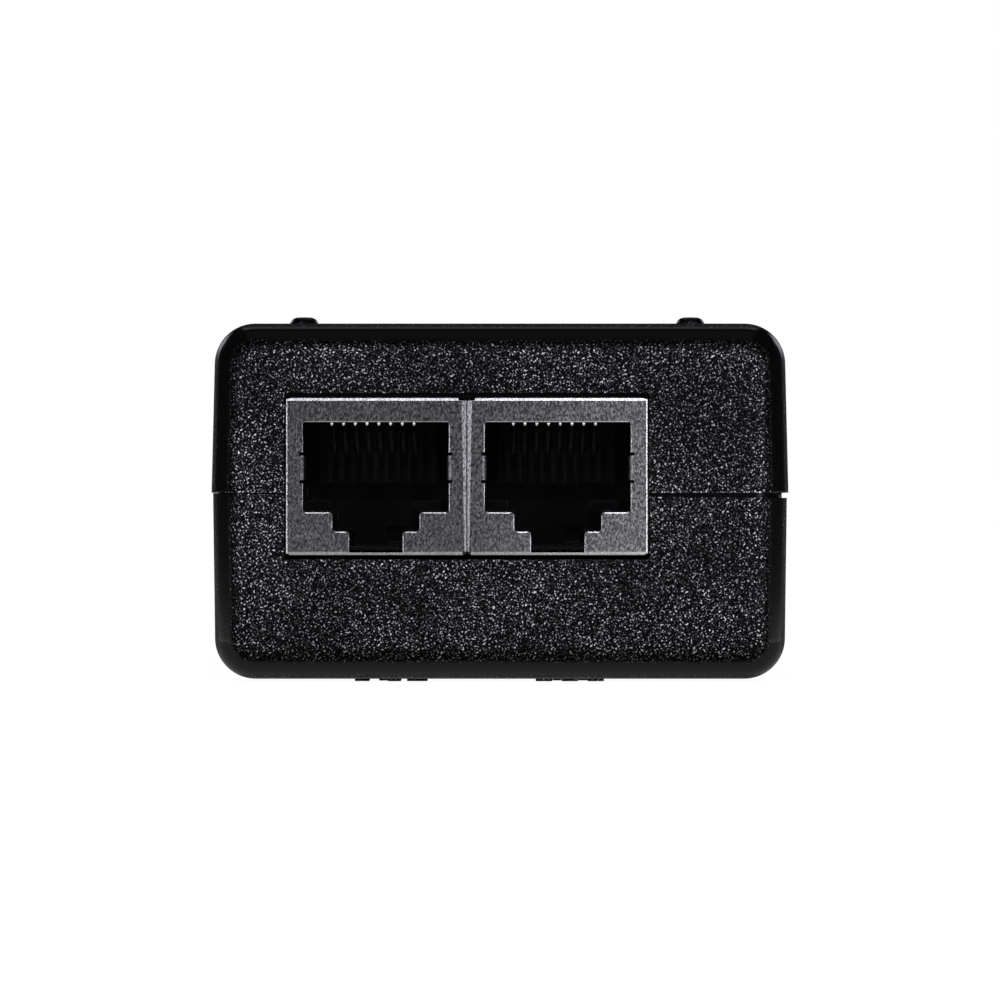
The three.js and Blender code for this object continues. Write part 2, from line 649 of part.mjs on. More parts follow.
function board() {
  const through = [BOARD_BOTTOM - PAST, BOARD_TOP + PAST];
  const outline = [about(0, BOARD_WIDTH / 2), about(0, BOARD_LENGTH / 2)];
  let laminate = box(...outline, [BOARD_BOTTOM, BOARD_TOP]);
  const drill = (tool) => {
    laminate = laminate.subtract(tool);
  };
  for (const x of [PORT_A_X, PORT_B_X]) {
    contactCentres().forEach((u, i) => {
      drill(post(x + u, JACK_FACE_Y + tailDepth(i), TAIL_HOLE_RADIUS, through, 6));
    });
    for (const side of [-1, 1]) {
      const peg = [x + side * LOCATOR.x, JACK_FACE_Y + LOCATOR.depth];
      const leg = [x + side * (JACK_WIDTH - SHEET) / 2, JACK_FACE_Y + LEG.depth];
      drill(post(...peg, LOCATOR.radius + LOCATOR_GAP, through, 12));
      drill(box(about(leg[0], LEG_SLOT.halfWidth), about(leg[1], LEG_SLOT.halfLength), through));
    }
  }
  const { y, halfWidth, halfDepth, slotGap } = PIN_TAIL;
  for (const { x } of PINS) {
    drill(box(about(x, halfWidth + slotGap), about(y, halfDepth + slotGap), through));
  }
  return laminate;
}

// ---------------------------------------------------------------- transformer

// The core is two E halves closed over the bobbin, with their legs either side of the winding. Its
// sizes are measured from the transformer's middle, and its heights from the core's underside.
const TRANSFORMER = { x: 0.5, y: 0.3, low: STAND + 3, height: 16 };
const CORE = { half: 10, legInner: 7.2, centreHalf: 2.4, back: [6.1, 9.2], leg: [0.1, 6.2], centreRise: 5.5 };
const BOBBIN = { baseHalf: [9.5, 8.8], baseTop: -0.3, tube: 3.5, tubeRise: 4.4, half: [7, 5.9] };
const BOBBIN_RANGE = [-0.5, 0.4]; // past the core's underside and top
const WINDING_ROOM = { half: [8, 4.9], low: 0.6 };
const LEG_ROOM = { half: 2.7, rise: 5.2 };
const WINDING = { half: [6.8, 4.6], low: 0.9, high: -0.2, bore: 3.8, boreRise: 4.1 };

function addTransformer() {
  const { x, y, low, height } = TRANSFORMER;
  const high = low + height;
  const rise = (inset) => [low + inset, high - inset];
  for (const [name, side] of [['front', -1], ['rear', 1]]) {
    const leg = beside(y, side, ...CORE.leg);
    let half = box(about(x, CORE.half), beside(y, side, ...CORE.back), rise(0));
    half = half.add(box(beside(x, -1, CORE.legInner, CORE.half), leg, rise(0)));
    half = half.add(box(beside(x, 1, CORE.legInner, CORE.half), leg, rise(0)));
    half = half.add(box(about(x, CORE.centreHalf), leg, rise(CORE.centreRise)));
    addNode(`transformer_core_${name}`, half, MATERIALS.ferrite);
  }
  const [halfX, halfY] = BOBBIN.half;
  const across = (half, lengthwise, range) => box(about(x, half), about(y, lengthwise), range);
  const base = across(...BOBBIN.baseHalf, [STAND, low + BOBBIN.baseTop]);
  const cheeks = across(halfX, halfY, [low + BOBBIN_RANGE[0], high + BOBBIN_RANGE[1]]);
  const room = across(...WINDING_ROOM.half, [low + WINDING_ROOM.low, high + PAST]);
  const tube = across(BOBBIN.tube, halfY, rise(BOBBIN.tubeRise));
  const legRoom = across(LEG_ROOM.half, halfY + PAST, rise(LEG_ROOM.rise));
  addNode(
    'transformer_bobbin',
    base.add(cheeks.subtract(room)).add(tube).subtract(legRoom),
    MATERIALS.bobbin,
  );
  const wound = across(...WINDING.half, [low + WINDING.low, high + WINDING.high]);
  const bore = across(WINDING.bore, halfY, rise(WINDING.boreRise));
  addNode('transformer_winding', wound.subtract(bore), MATERIALS.tape);
}

// ---------------------------------------------------------------- power packages on heatsinks

// side is the direction in which the package faces along X, and x the heatsink's face behind it.
const PACKAGE = { half: 5, gap: 0.1, tab: 1.3, body: 4.4, bottom: 3.5, bodyTop: 12.2, top: 18.5 };
const PACKAGE_LEG = { spread: 2.54, half: 0.4, from: 2.2, to: 2.7, top: 4 };
const SCREW = { z: 15.6, hole: 1.8, shank: 1.4, from: -1.4, head: 2.7, headFrom: 1.5, headTo: 3.3 };
const SCREW_SLOT = { half: 0.35, halfLength: 1.8, from: 2.55 };
const HEATSINK = { thickness: 1.5, height: 20, flange: 5, flangeThickness: 1, hole: 1.6 };
const POWER_DEVICES = [
  {
    heatsink: 'primary_heatsink', part: 'switching_transistor', screw: 'transistor_screw',
    x: -19.2, side: 1, span: [-7, 15], y: 4,
  },
  {
    heatsink: 'secondary_heatsink', part: 'output_rectifier', screw: 'rectifier_screw',
    x: 19.2, side: -1, span: [-6.6, 9], y: 0,
  },
];

// A three-legged package standing against its heatsink.
function powerPackage({ x, y, side }) {
  const { half, gap, tab, body, bottom, bodyTop, top } = PACKAGE;
  let part = box(beside(x, side, gap, tab), about(y, half), [STAND + bottom, STAND + top]);
  part = part.add(box(beside(x, side, gap, body), about(y, half), [STAND + bottom, STAND + bodyTop]));
  part = part.subtract(crossRod(beside(x, side, 0, body), y, STAND + SCREW.z, SCREW.hole));
  const leg = PACKAGE_LEG;
  for (const offset of [-leg.spread, 0, leg.spread]) {
    part = part.add(box(
      beside(x, side, leg.from, leg.to),
      about(y + offset, leg.half),
      [STAND, STAND + leg.top],
    ));
  }
  return part;
}

// A pan-head screw through the package's tab into the plate.
function packageScrew({ x, y, side }) {
  const z = STAND + SCREW.z;
  const shank = crossRod(beside(x, side, SCREW.from, SCREW.headFrom + OVERLAP), y, z, SCREW.shank);
  const head = crossRod(beside(x, side, SCREW.headFrom, SCREW.headTo), y, z, SCREW.head, 16);
  const slot = box(
    beside(x, side, SCREW_SLOT.from, SCREW.headTo + PAST),
    about(y, SCREW_SLOT.halfLength),
    about(z, SCREW_SLOT.half),
  );
  return shank.add(head).subtract(slot);
}

function heatsink({ x, y, side, span }) {
  const { thickness, height, flange, flangeThickness, hole } = HEATSINK;
  const top = STAND + height;
  const sheet = box(beside(x, side, -thickness, 0), span, [STAND, top]);
  const edge = box(beside(x, side, -thickness, flange), span, [top, top + flangeThickness]);
  const drill = crossRod(beside(x, side, -thickness - PAST, PAST), y, STAND + SCREW.z, hole);
  return sheet.add(edge).subtract(drill);
}

function addPowerDevices() {
  for (const device of POWER_DEVICES) {
    addNode(device.heatsink, heatsink(device), MATERIALS.heatsink);
    addNode(device.part, powerPackage(device), MATERIALS.package);
    addNode(device.screw, packageScrew(device), MATERIALS.steel);
  }
}

// ---------------------------------------------------------------- choke

// The mains choke: two windings on a ring core standing on edge.
const CHOKE = { x: -5.2, y: 22, z: STAND + 9, gap: 1.6 };
const CHOKE_CORE = { outer: 7, inner: 4, half: 2.6 };
const CHOKE_WINDING = { outer: 8.2, inner: 2.9, half: 3.9 };
const CHOKE_ROOM = { outer: 7.2, inner: 3.7, half: 2.8 };

function ring({ outer, inner, half }) {
  const { x, y, z } = CHOKE;
  const tube = rod(x, z, outer, about(y, half), 24);
  return tube.subtract(rod(x, z, inner, about(y, half + PAST), 16));
}

function addChoke() {
  const { x, y, z, gap } = CHOKE;
  const reach = CHOKE_WINDING.outer + PAST;
  addNode('choke_core', ring(CHOKE_CORE), MATERIALS.ferrite);
  const between = box(about(x, gap), about(y, reach), about(z, reach));
  const middle = (solid) => (solid.boundingBox().min[0] + solid.boundingBox().max[0]) / 2;
  const [line, neutral] = ring(CHOKE_WINDING)
    .subtract(ring(CHOKE_ROOM))
    .subtract(between)
    .decompose()
    .sort((a, b) => middle(a) - middle(b));
  addNode('choke_winding_line', line, MATERIALS.copper);
  addNode('choke_winding_neutral', neutral, MATERIALS.copper);
}

// ---------------------------------------------------------------- other components

const ELECTROLYTICS = [
  { name: 'bulk_capacitor', x: 11.6, y: 20.6, radius: 8, height: 20 },
  { name: 'output_capacitor_1', x: 16.4, y: -12.1, radius: 5, height: 16 },
  { name: 'output_capacitor_2', x: 16.4, y: -22.8, radius: 5, height: 16 },
];
const CAN = { bevel: 0.5, neckFrom: 1.6, neck: 2.1, neckTo: 2.6, neckDepth: 0.35 };

const DISCS = [
  { name: 'y_capacitor', x: -4, y: -12.2, radius: 4, half: 1.7 },
  { name: 'varistor', x: 16, y: 34.6, radius: 4.6, half: 2 },
];
const DISC_RISE = 1.6; // under the disc's rim
const DISC_LEG = { spread: 2.5, half: 0.3, top: 4 };

// Rectangular parts: z is the height above the board's components level
const BOXES = [
  { name: 'x_capacitor', x: [-19.4, -13.6], y: [17.4, 30.4], z: [0, 11.5], material: 'filmBox' },
  { name: 'bridge_rectifier', x: [-13, 2], y: [10.6, 14], z: [1.5, 12.5], material: 'package' },
  { name: 'optocoupler', x: [4, 10.6], y: [-14.4, -9.8], z: [0.4, 4], material: 'insulation' },
  { name: 'controller_chip', x: [-19.6, -10], y: [-16.4, -9.8], z: [0.4, 3.8], material: 'package' },
  { name: 'network_transformer', x: [-6.8, 10.8], y: [-27.4, -15], z: [0, 6], material: 'package' },
];

const FUSE = { x: -15.8, y: 35, radius: 4.1, height: 8 };
const SPOOL = { x: -15, y: -22.8, flange: 4.5, wire: 3.9, flangeHeight: 1.4, bevel: 0.4, height: 10 };

// An upright electrolytic capacitor with a crimped neck near its foot.
function electrolytic({ x, y, radius, height }) {
  const { bevel, neckFrom, neck, neckTo, neckDepth } = CAN;
  const top = STAND + height;
  return turned(x, y, [
    [0, STAND], [radius - bevel, STAND], [radius, STAND + bevel],
    [radius, STAND + neckFrom], [radius - neckDepth, STAND + neck], [radius, STAND + neckTo],
    [radius, top - bevel], [radius - bevel, top], [0, top],
  ], 24);
}

// A coated disc on two legs, standing on edge across the board.
function disc({ x, y, radius, half }) {
  let part = rod(x, STAND + DISC_RISE + radius, radius, about(y, half), 20);
  for (const side of [-1, 1]) {
    const leg = about(x + side * DISC_LEG.spread, DISC_LEG.half);
    part = part.add(box(leg, about(y, DISC_LEG.half), [STAND, STAND + DISC_LEG.top]));
  }
  return part;
}

function outputChoke() {
  const { x, y, flange, wire, flangeHeight, bevel, height } = SPOOL;
  const top = STAND + height;
  return turned(x, y, [
    [0, STAND], [flange, STAND], [flange, STAND + flangeHeight], [wire, STAND + flangeHeight + bevel],
    [wire, top - flangeHeight - bevel], [flange, top - flangeHeight], [flange, top], [0, top],
  ], 20);
}

function addComponents() {
  addNode('main_board', board(), MATERIALS.board);
  addTransformer();
  addPowerDevices();
  addChoke();
  for (const part of ELECTROLYTICS) {
    addNode(part.name, electrolytic(part), MATERIALS.capacitorSleeve);
  }
  for (const part of DISCS) {
    addNode(part.name, disc(part), MATERIALS.blueCoat);
  }
  for (const { name, x, y, z, material } of BOXES) {
    addNode(name, box(x, y, z.map((height) => STAND + height)), MATERIALS[material]);
  }
  addNode('fuse', post(FUSE.x, FUSE.y, FUSE.radius, [STAND, STAND + FUSE.height], 20), MATERIALS.bobbin);
  addNode('output_choke', outputChoke(), MATERIALS.copper);
}

// ---------------------------------------------------------------- status light

const LED = { flange: 1.7, flangeHeight: 1, radius: 1.45, height: 5.2 };
const LED_DOME = [[1.45, -1.4], [1.25, -0.7], [0.75, -0.2], [0, 0]]; // radius, and height from the tip
const PIPE = { aboveLed: 0.4, flange: 2.4, flangeFrom: -1.2, flangeTo: -0.15, bevel: 0.3, proud: 0.12 };

function addStatusLight() {
  const tip = STAND + LED.height;
  addNode('status_led', turned(LIGHT_X, LIGHT_Y, [
    [0, STAND], [LED.flange, STAND], [LED.flange, STAND + LED.flangeHeight],
    [LED.radius, STAND + LED.flangeHeight], ...LED_DOME.map(([radius, height]) => [radius, tip + height]),
  ]), MATERIALS.led);
  const radius = LIGHT_PIPE_RADIUS;
  const foot = tip + PIPE.aboveLed;
  addNode('light_pipe', turned(LIGHT_X, LIGHT_Y, [
    [0, foot], [radius, foot],
    [radius, CEILING_Z + PIPE.flangeFrom], [PIPE.flange, CEILING_Z + PIPE.flangeFrom],
    [PIPE.flange, CEILING_Z + PIPE.flangeTo], [radius, CEILING_Z + PIPE.flangeTo],
    [radius, CASE_TOP - PIPE.proud], [radius - PIPE.bevel, CASE_TOP + PIPE.proud], [0, CASE_TOP + PIPE.proud],
  ], 20), MATERIALS.lens);
}

addCase();
addJack('a', PORT_A_X);
addJack('b', PORT_B_X);
addInlet();
addComponents();
addStatusLight();

// Turned over about Y: the lid's raised marks come down to z = 0 and the four feet point up
injector.rotation.y = Math.PI;
injector.position.z = CASE_TOP + MARK_HEIGHT;

export default injector;
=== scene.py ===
"""Looks for the PoE injector: fine shells, shields, contact wires and inlet round the CAD frame."""
import json
import math

import bmesh
import bpy
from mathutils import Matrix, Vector


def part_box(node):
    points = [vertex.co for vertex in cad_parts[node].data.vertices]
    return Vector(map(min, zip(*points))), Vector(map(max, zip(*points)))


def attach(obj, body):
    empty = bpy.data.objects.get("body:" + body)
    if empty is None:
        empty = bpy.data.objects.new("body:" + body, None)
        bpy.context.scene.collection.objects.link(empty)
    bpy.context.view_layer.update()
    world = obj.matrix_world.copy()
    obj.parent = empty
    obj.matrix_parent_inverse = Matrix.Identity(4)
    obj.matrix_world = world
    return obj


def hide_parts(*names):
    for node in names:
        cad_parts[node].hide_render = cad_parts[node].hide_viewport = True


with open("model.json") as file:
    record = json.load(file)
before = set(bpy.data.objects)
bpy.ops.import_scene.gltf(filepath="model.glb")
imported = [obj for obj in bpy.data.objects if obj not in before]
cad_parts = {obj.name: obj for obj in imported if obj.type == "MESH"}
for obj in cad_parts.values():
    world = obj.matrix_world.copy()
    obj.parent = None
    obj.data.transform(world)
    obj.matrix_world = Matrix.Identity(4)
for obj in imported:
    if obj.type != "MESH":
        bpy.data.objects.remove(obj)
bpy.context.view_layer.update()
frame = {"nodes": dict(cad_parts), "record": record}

MM = 0.001
BODY = "case"

# ------------------------------------------------------------------ places, from the frame

base_low, base_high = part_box("base_shell")
lid_low, lid_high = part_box("lid_shell")

CASE_LENGTH = base_high.y - base_low.y
BASE_HALF = base_high.x
LID_HALF = lid_high.x
FOOT_HEIGHT = 0.75 * MM
MARK_HEIGHT = 0.25 * MM
TONGUE = 1.5 * MM
TOP_Z = base_high.z - FOOT_HEIGHT
BOTTOM_Z = lid_low.z + MARK_HEIGHT
PARTING_Z = base_low.z + TONGUE
BOARD_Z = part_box("main_board")[0].z  # the jacks hang down from this face of the board
FRONT_Y = base_low.y
REAR_Y = base_high.y

CORNER = 3.55 * MM  # radius of the long edges
EDGE = 3.0 * MM  # radius round the two end faces
BASE_DRAFT = math.radians(1.4)
LID_DRAFT = math.radians(0.75)
WALL = 2.2 * MM
CORNER_STEPS = 20
EDGE_STEPS = 12


# ------------------------------------------------------------------ mesh tools

def mesh_object(name, bm):
    mesh = bpy.data.meshes.new(name)
    bm.to_mesh(mesh)
    bm.free()
    piece = bpy.data.objects.new(name, mesh)
    bpy.context.scene.collection.objects.link(piece)
    return piece


def loft(name, rings):
    """A closed solid through rings of points, each ring with as many points as the next."""
    bm = bmesh.new()
    rows = [[bm.verts.new(point) for point in ring] for ring in rings]
    count = len(rows[0])
    for near, far in zip(rows, rows[1:]):
        for i in range(count):
            j = (i + 1) % count
            bm.faces.new((near[i], near[j], far[j], far[i]))
    bm.faces.new(list(reversed(rows[0])))
    bm.faces.new(rows[-1])
    bmesh.ops.recalc_face_normals(bm, faces=bm.faces)
    return mesh_object(name, bm)


def block(name, x, y, z):
    corners = [(x[0], z[0]), (x[1], z[0]), (x[1], z[1]), (x[0], z[1])]
    return loft(name, [[(a, depth, b) for a, b in corners] for depth in y])


def prism_y(name, outline, y):
    """An outline in X and Z carried along Y."""
    return loft(name, [[(a, depth, b) for a, b in outline] for depth in y])


def prism_z(name, outline, z):
    """An outline in X and Y carried along Z."""
    return loft(name, [[(a, b, height) for a, b in outline] for height in z])


def turned_z(name, centre, profile):
    """A profile of (radius, z) points turned about an upright axis. Its ends are flat discs."""
    x, y = centre
    steps = 48
    angles = [2 * math.pi * i / steps for i in range(steps)]
    return loft(name, [[(x + r * math.cos(a), y + r * math.sin(a), z) for a in angles] for r, z in profile])


def turned_y(name, centre, profile, steps):
    """A profile of (radius, y) points turned about an axis along Y."""
    x, z = centre
    angles = [2 * math.pi * i / steps for i in range(steps)]
    return loft(name, [[(x + r * math.cos(a), y, z + r * math.sin(a)) for a in angles] for r, y in profile])


def arc(centre, radius, start, end, steps):
    """Points on an arc, in degrees."""
    angles = [math.radians(start + (end - start) * i / steps) for i in range(steps + 1)]
    return [(centre[0] + radius * math.cos(a), centre[1] + radius * math.sin(a)) for a in angles]


def fillet(points, radius, steps=5):
    """The same closed outline with each corner rounded. radius is one number or one per corner."""
    radii = radius if isinstance(radius, (list, tuple)) else [radius] * len(points)
    rounded = []
    for i, corner in enumerate(points):
        here = Vector(corner)
        before = (Vector(points[i - 1]) - here).normalized()
        after = (Vector(points[(i + 1) % len(points)]) - here).normalized()
        half = before.angle(after) / 2
        reach = radii[i] / math.tan(half)
        centre = here + (before + after).normalized() * (radii[i] / math.sin(half))
        first = here + before * reach - centre
        last = here + after * reach - centre
        turn = math.atan2(first.x * last.y - first.y * last.x, first.dot(last))
        for k in range(steps + 1):
            a = turn * k / steps
            rounded.append((
                centre.x + first.x * math.cos(a) - first.y * math.sin(a),
                centre.y + first.x * math.sin(a) + first.y * math.cos(a),
            ))
    return rounded


def rectangle(x, y):
    return [(x[0], y[0]), (x[1], y[0]), (x[1], y[1]), (x[0], y[1])]


def mirrored(points):
    """The other half of an outline that is the same on both sides."""
    return [(-u, w) for u, w in reversed(points)]


def combine(piece, others, operation):
    """Joins, cuts or keeps what the piece shares with the others, which are used up."""
    for other in others:
        modifier = piece.modifiers.new("boolean", "BOOLEAN")
        modifier.operation = operation
        modifier.solver = "EXACT"
        modifier.object = other
        apply_modifiers(piece)
        bpy.data.objects.remove(other)
    return piece


def join(piece, *others):
    return combine(piece, others, "UNION")


def cut(piece, *others):
    return combine(piece, others, "DIFFERENCE")


def keep(piece, *others):
    return combine(piece, others, "INTERSECT")


def apply_modifiers(piece):
    evaluated = piece.evaluated_get(bpy.context.evaluated_depsgraph_get())
    mesh = bpy.data.meshes.new_from_object(evaluated)
    old = piece.data
    piece.modifiers.clear()
    piece.data = mesh
    bpy.data.meshes.remove(old)


SAME_POINT = 1e-7
SAME_PLANE = math.radians(0.2)
SHARP = math.radians(28)


def soften(piece, chosen, width, segments=2):
    """Bevels the sharp edges whose middle point chosen accepts."""
    bm = bmesh.new()
    bm.from_mesh(piece.data)
    bmesh.ops.remove_doubles(bm, verts=bm.verts, dist=SAME_POINT)
    bmesh.ops.dissolve_limit(bm, angle_limit=SAME_PLANE, verts=bm.verts, edges=bm.edges)
    sharp = [
        e for e in bm.edges
        if len(e.link_faces) == 2 and e.calc_face_angle(0) > SHARP
        and chosen((e.verts[0].co + e.verts[1].co) / 2)
    ]
    bmesh.ops.bevel(
        bm, geom=sharp, offset=width, offset_type="OFFSET", segments=segments, profile=0.5,
        affect="EDGES", clamp_overlap=True,
    )
    bm.to_mesh(piece.data)
    bm.free()
    return piece


def smooth(piece, angle=32):
    """Smooth shading that keeps edges sharper than the angle, with flat faces kept flat."""
    mesh = piece.data
    mesh.polygons.foreach_set("use_smooth", [True] * len(mesh.polygons))
    mesh.set_sharp_from_angle(angle=math.radians(angle))
    modifier = piece.modifiers.new("weighted", "WEIGHTED_NORMAL")
    modifier.keep_sharp = True
    modifier.mode = "FACE_AREA"
    modifier.weight = 80  # broad faces outweigh the bevels beside them
    apply_modifiers(piece)
    return piece


def finish_piece(piece, slot, replaced, body=BODY):
    piece.data.materials.clear()
    piece.data.materials.append(MATERIALS[slot])
    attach(piece, body)
    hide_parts(*replaced)
    return piece


# ------------------------------------------------------------------ materials

PLASTIC_IOR = 1.45
LENS_IOR = 1.49
NOISE_RANGE = (0.3, 0.7)  # most of a noise's values lie between these


class Shader:
    """A node material with one Principled shader and a few short ways to feed it. The colour and
    the roughness that it starts with hold where nothing is linked to them."""

    def __init__(self, name, color, roughness, metallic=0.0, ior=1.5):
        self.material = bpy.data.materials.new(name)
        self.material.use_nodes = True
        self.tree = self.material.node_tree
        self.shader = self.tree.nodes["Principled BSDF"]
        self.set("Base Color", (*color, 1.0))
        self.set("Roughness", roughness)
        self.set("Metallic", metallic)
        self.set("IOR", ior)

    def set(self, socket, value):
        self.shader.inputs[socket].default_value = value

    def link(self, source, target):
        self.tree.links.new(source, target)

    def node(self, kind, **inputs):
        made = self.tree.nodes.new(kind)
        for key, value in inputs.items():
            made.inputs[key.replace("_", " ")].default_value = value
        return made

    def place(self, stretch=(1, 1, 1), turn=(0, 0, 0)):
        """Object coordinates, in metres, stretched per axis and turned."""
        coordinates = self.node("ShaderNodeTexCoord")
        mapping = self.node("ShaderNodeMapping")
        mapping.inputs["Scale"].default_value = stretch
        mapping.inputs["Rotation"].default_value = turn
        self.link(coordinates.outputs["Object"], mapping.inputs["Vector"])
        return mapping.outputs["Vector"]

    def noise(self, size, detail=2.0, roughness=0.5, stretch=(1, 1, 1), turn=(0, 0, 0)):
        """Noise whose features are about size across, in metres."""
        texture = self.node("ShaderNodeTexNoise", Scale=1 / size, Detail=detail, Roughness=roughness)
        self.link(self.place(stretch, turn), texture.inputs["Vector"])
        return texture.outputs["Fac"]

    def math(self, operation, first, second=None):
        """A math node. Either value may be a number or an output."""
        node = self.node("ShaderNodeMath")
        node.operation = operation
        for socket, value in zip(node.inputs, (first, second)):
            if isinstance(value, (int, float)):
                socket.default_value = value
            elif value is not None:
                self.link(value, socket)
        return node.outputs["Value"]

    def product(self, first, second):
        return self.math("MULTIPLY", first, second)

    def sum(self, first, second):
        return self.math("ADD", first, second)

    def parts(self, kind):
        """The X, Y and Z of a texture coordinate: Object for the place in metres, or Normal."""
        split = self.node("ShaderNodeSeparateXYZ")
        self.link(self.node("ShaderNodeTexCoord").outputs[kind], split.inputs[0])
        return split.outputs

    def band(self, axis, middle, half, strength):
        """strength within half of the middle along an axis, in metres, and 0 away from it."""
        along = self.parts("Object")[axis]
        away = self.math("ABSOLUTE", self.math("SUBTRACT", along, middle))
        return self.mapped(away, strength, 0.0, half * 0.8, half)

    def rising(self, value, rate, full):
        """Grows by a factor of e for each 1/rate of value and is 1 from full up."""
        raised = self.math("EXPONENT", self.mapped(value, 0.0, 1.0, full, full + 1 / rate, clamp=False))
        return self.math("MINIMUM", raised, 1.0)

    def flatness(self, round_below, flat_above):
        """1 where the surface faces along an axis, fading to 0 on rounded edges."""
        x, y, z = (self.math("ABSOLUTE", part) for part in self.parts("Normal"))
        largest = self.math("MAXIMUM", self.math("MAXIMUM", x, y), z)
        return self.mapped(largest, 0.0, 1.0, round_below, flat_above)

    def mapped(self, value, low, high, from_low=0.0, from_high=1.0, clamp=True):
        ranged = self.node("ShaderNodeMapRange")
        ranged.clamp = clamp
        ranged.inputs["From Min"].default_value = from_low
        ranged.inputs["From Max"].default_value = from_high
        ranged.inputs["To Min"].default_value = low
        ranged.inputs["To Max"].default_value = high
        self.link(value, ranged.inputs["Value"])
        return ranged.outputs["Result"]

    def roughness(self, noise, low, high):
        self.link(self.mapped(noise, low, high, *NOISE_RANGE), self.shader.inputs["Roughness"])

    def color(self, value, dark, light, from_low, from_high):
        ramp = self.node("ShaderNodeValToRGB")
        ramp.color_ramp.elements[0].position = from_low
        ramp.color_ramp.elements[0].color = (*dark, 1)
        ramp.color_ramp.elements[1].position = from_high
        ramp.color_ramp.elements[1].color = (*light, 1)
        self.link(value, ramp.inputs["Fac"])
        self.link(ramp.outputs["Color"], self.shader.inputs["Base Color"])

    def bump(self, value, depth):
        """Relief of the given depth, in metres."""
        node = self.node("ShaderNodeBump", Strength=1.0, Distance=depth)
        self.link(value, node.inputs["Height"])
        self.link(node.outputs["Normal"], self.shader.inputs["Normal"])


GRAIN = 0.145 * MM
GRAIN_TURN = (0.6, 0.5, 0.4)  # no side of the case lies along the noise's own grid, which would show
ROUGH_FULL = 0.4  # how much of the grain is enough for the surface to be fully rough and fully metal, where the painted glints show


def case_plastic():
    """Black moulding with a coarse spark-eroded grain on its flat sides. Its glints are painted: specks of
    the grain get a bright metallic colour that the lamps catch. The grain and its painted glints fade
    out on the rounded edges, and run over the narrow edges at the parting line as a painted highlight."""
    look = Shader("case_plastic", (0.004, 0.004, 0.0045), 0.15, ior=PLASTIC_IOR)
    grain = look.noise(GRAIN, detail=0.5, roughness=0.4, turn=GRAIN_TURN)
    flat = look.flatness(round_below=0.84, flat_above=0.995)
    # Painted highlight: this band fills the narrow edges at the parting line with painted glints, as a bright
    # broken line along the rim
    rim = look.band("Z", middle=PARTING_Z, half=0.14 * MM, strength=3.0)
    rough = look.sum(flat, rim)
    uneven = look.mapped(look.noise(9 * MM, detail=1), 0.7, 1.15, from_low=0.35, from_high=0.65)
    # Painted glints: the grain's highest specks, on flat faces and the rim, varied at random over the case
    painted_glints = look.product(look.product(look.rising(grain, rate=20.0, full=0.755), rough), uneven)
    # The painted glints set the colour: near black between them and bright metal in them. The grain's places
    # are metal so that they reflect the lamps
    look.color(painted_glints, (0.003, 0.003, 0.0033), (0.9, 0.9, 0.92), from_low=0.0, from_high=1.0)
    look.link(look.mapped(rough, 0.0, 1.0, from_high=ROUGH_FULL), look.shader.inputs["Metallic"])
    look.link(look.mapped(rough, 0.17, 0.45, from_high=ROUGH_FULL), look.shader.inputs["Roughness"])
    look.bump(look.noise(0.3 * MM), 0.003 * MM)
    return look.material


def smooth_plastic(name, color, roughness, grain=0.12 * MM, shine=0.5):
    look = Shader(name, color, roughness, ior=PLASTIC_IOR)
    look.set("Specular IOR Level", shine)
    look.bump(look.noise(grain, detail=2), 0.002 * MM)
    look.roughness(look.noise(1.5 * MM, detail=3), roughness - 0.03, roughness + 0.04)
    return look.material


# Painted light: the plating's colour grows lighter and more speckled across port B's shield, from the joint
# to its outer side, as if more light fell there, and the specks are painted glints
PAINTED_LIGHT_FROM = -3 * MM
PAINTED_LIGHT_TO = 13 * MM


def shield_metal():
    """Plated sheet brushed up and down, with a fine frosting. Its folds get a paler colour as a painted
    highlight, and port B's shield gets a lighter, speckled colour towards its outer side as painted light.
    """
    look = Shader("shield_metal", (0.28, 0.28, 0.29), 0.28, metallic=1.0)
    brushing = look.noise(0.12 * MM, detail=3, roughness=0.7, stretch=(1, 1, 0.32))
    frosting = look.noise(0.16 * MM, detail=1, stretch=(1, 1, 0.6))
    specks = look.noise(0.1 * MM, detail=1, stretch=(1, 1, 0.8))
    # Painted highlight: the folds' rounded faces are painted paler, so that they show as bright lines
    fold_highlight = look.mapped(look.flatness(round_below=0.95, flat_above=0.999), 0.6, 0.0)
    # Painted light: port B's shield is painted lighter towards its outer side, with painted glints in the
    # specks
    painted_side_light = look.mapped(look.parts("Object")["X"], 0.0, 0.4, PAINTED_LIGHT_FROM, PAINTED_LIGHT_TO)
    speckle_glints = look.mapped(specks, 0.2, 1.0, from_low=0.35, from_high=0.68)
    tone = look.sum(look.mapped(brushing, 0.085, 0.33, *NOISE_RANGE), fold_highlight)
    tone = look.sum(tone, look.product(painted_side_light, speckle_glints))
    look.color(tone, (0, 0, 0), (1, 1, 1), from_low=0.0, from_high=1.0)
    look.roughness(frosting, 0.17, 0.36)
    look.bump(brushing, 0.003 * MM)
    return look.material


def wire_metal():
    look = Shader("contact_gold", (0.95, 0.93, 0.88), 0.1, metallic=1.0)
    look.bump(look.noise(0.1 * MM, detail=2, stretch=(1, 0.1, 1)), 0.0004 * MM)
    look.roughness(look.noise(0.3 * MM), 0.05, 0.08)
    return look.material


def bare_metal(name, color, roughness):
    look = Shader(name, color, roughness, metallic=1.0)
    look.bump(look.noise(0.2 * MM, detail=3, stretch=(1, 1, 0.1)), 0.003 * MM)
    look.roughness(look.noise(1.2 * MM, detail=2), roughness - 0.08, roughness + 0.1)
    return look.material


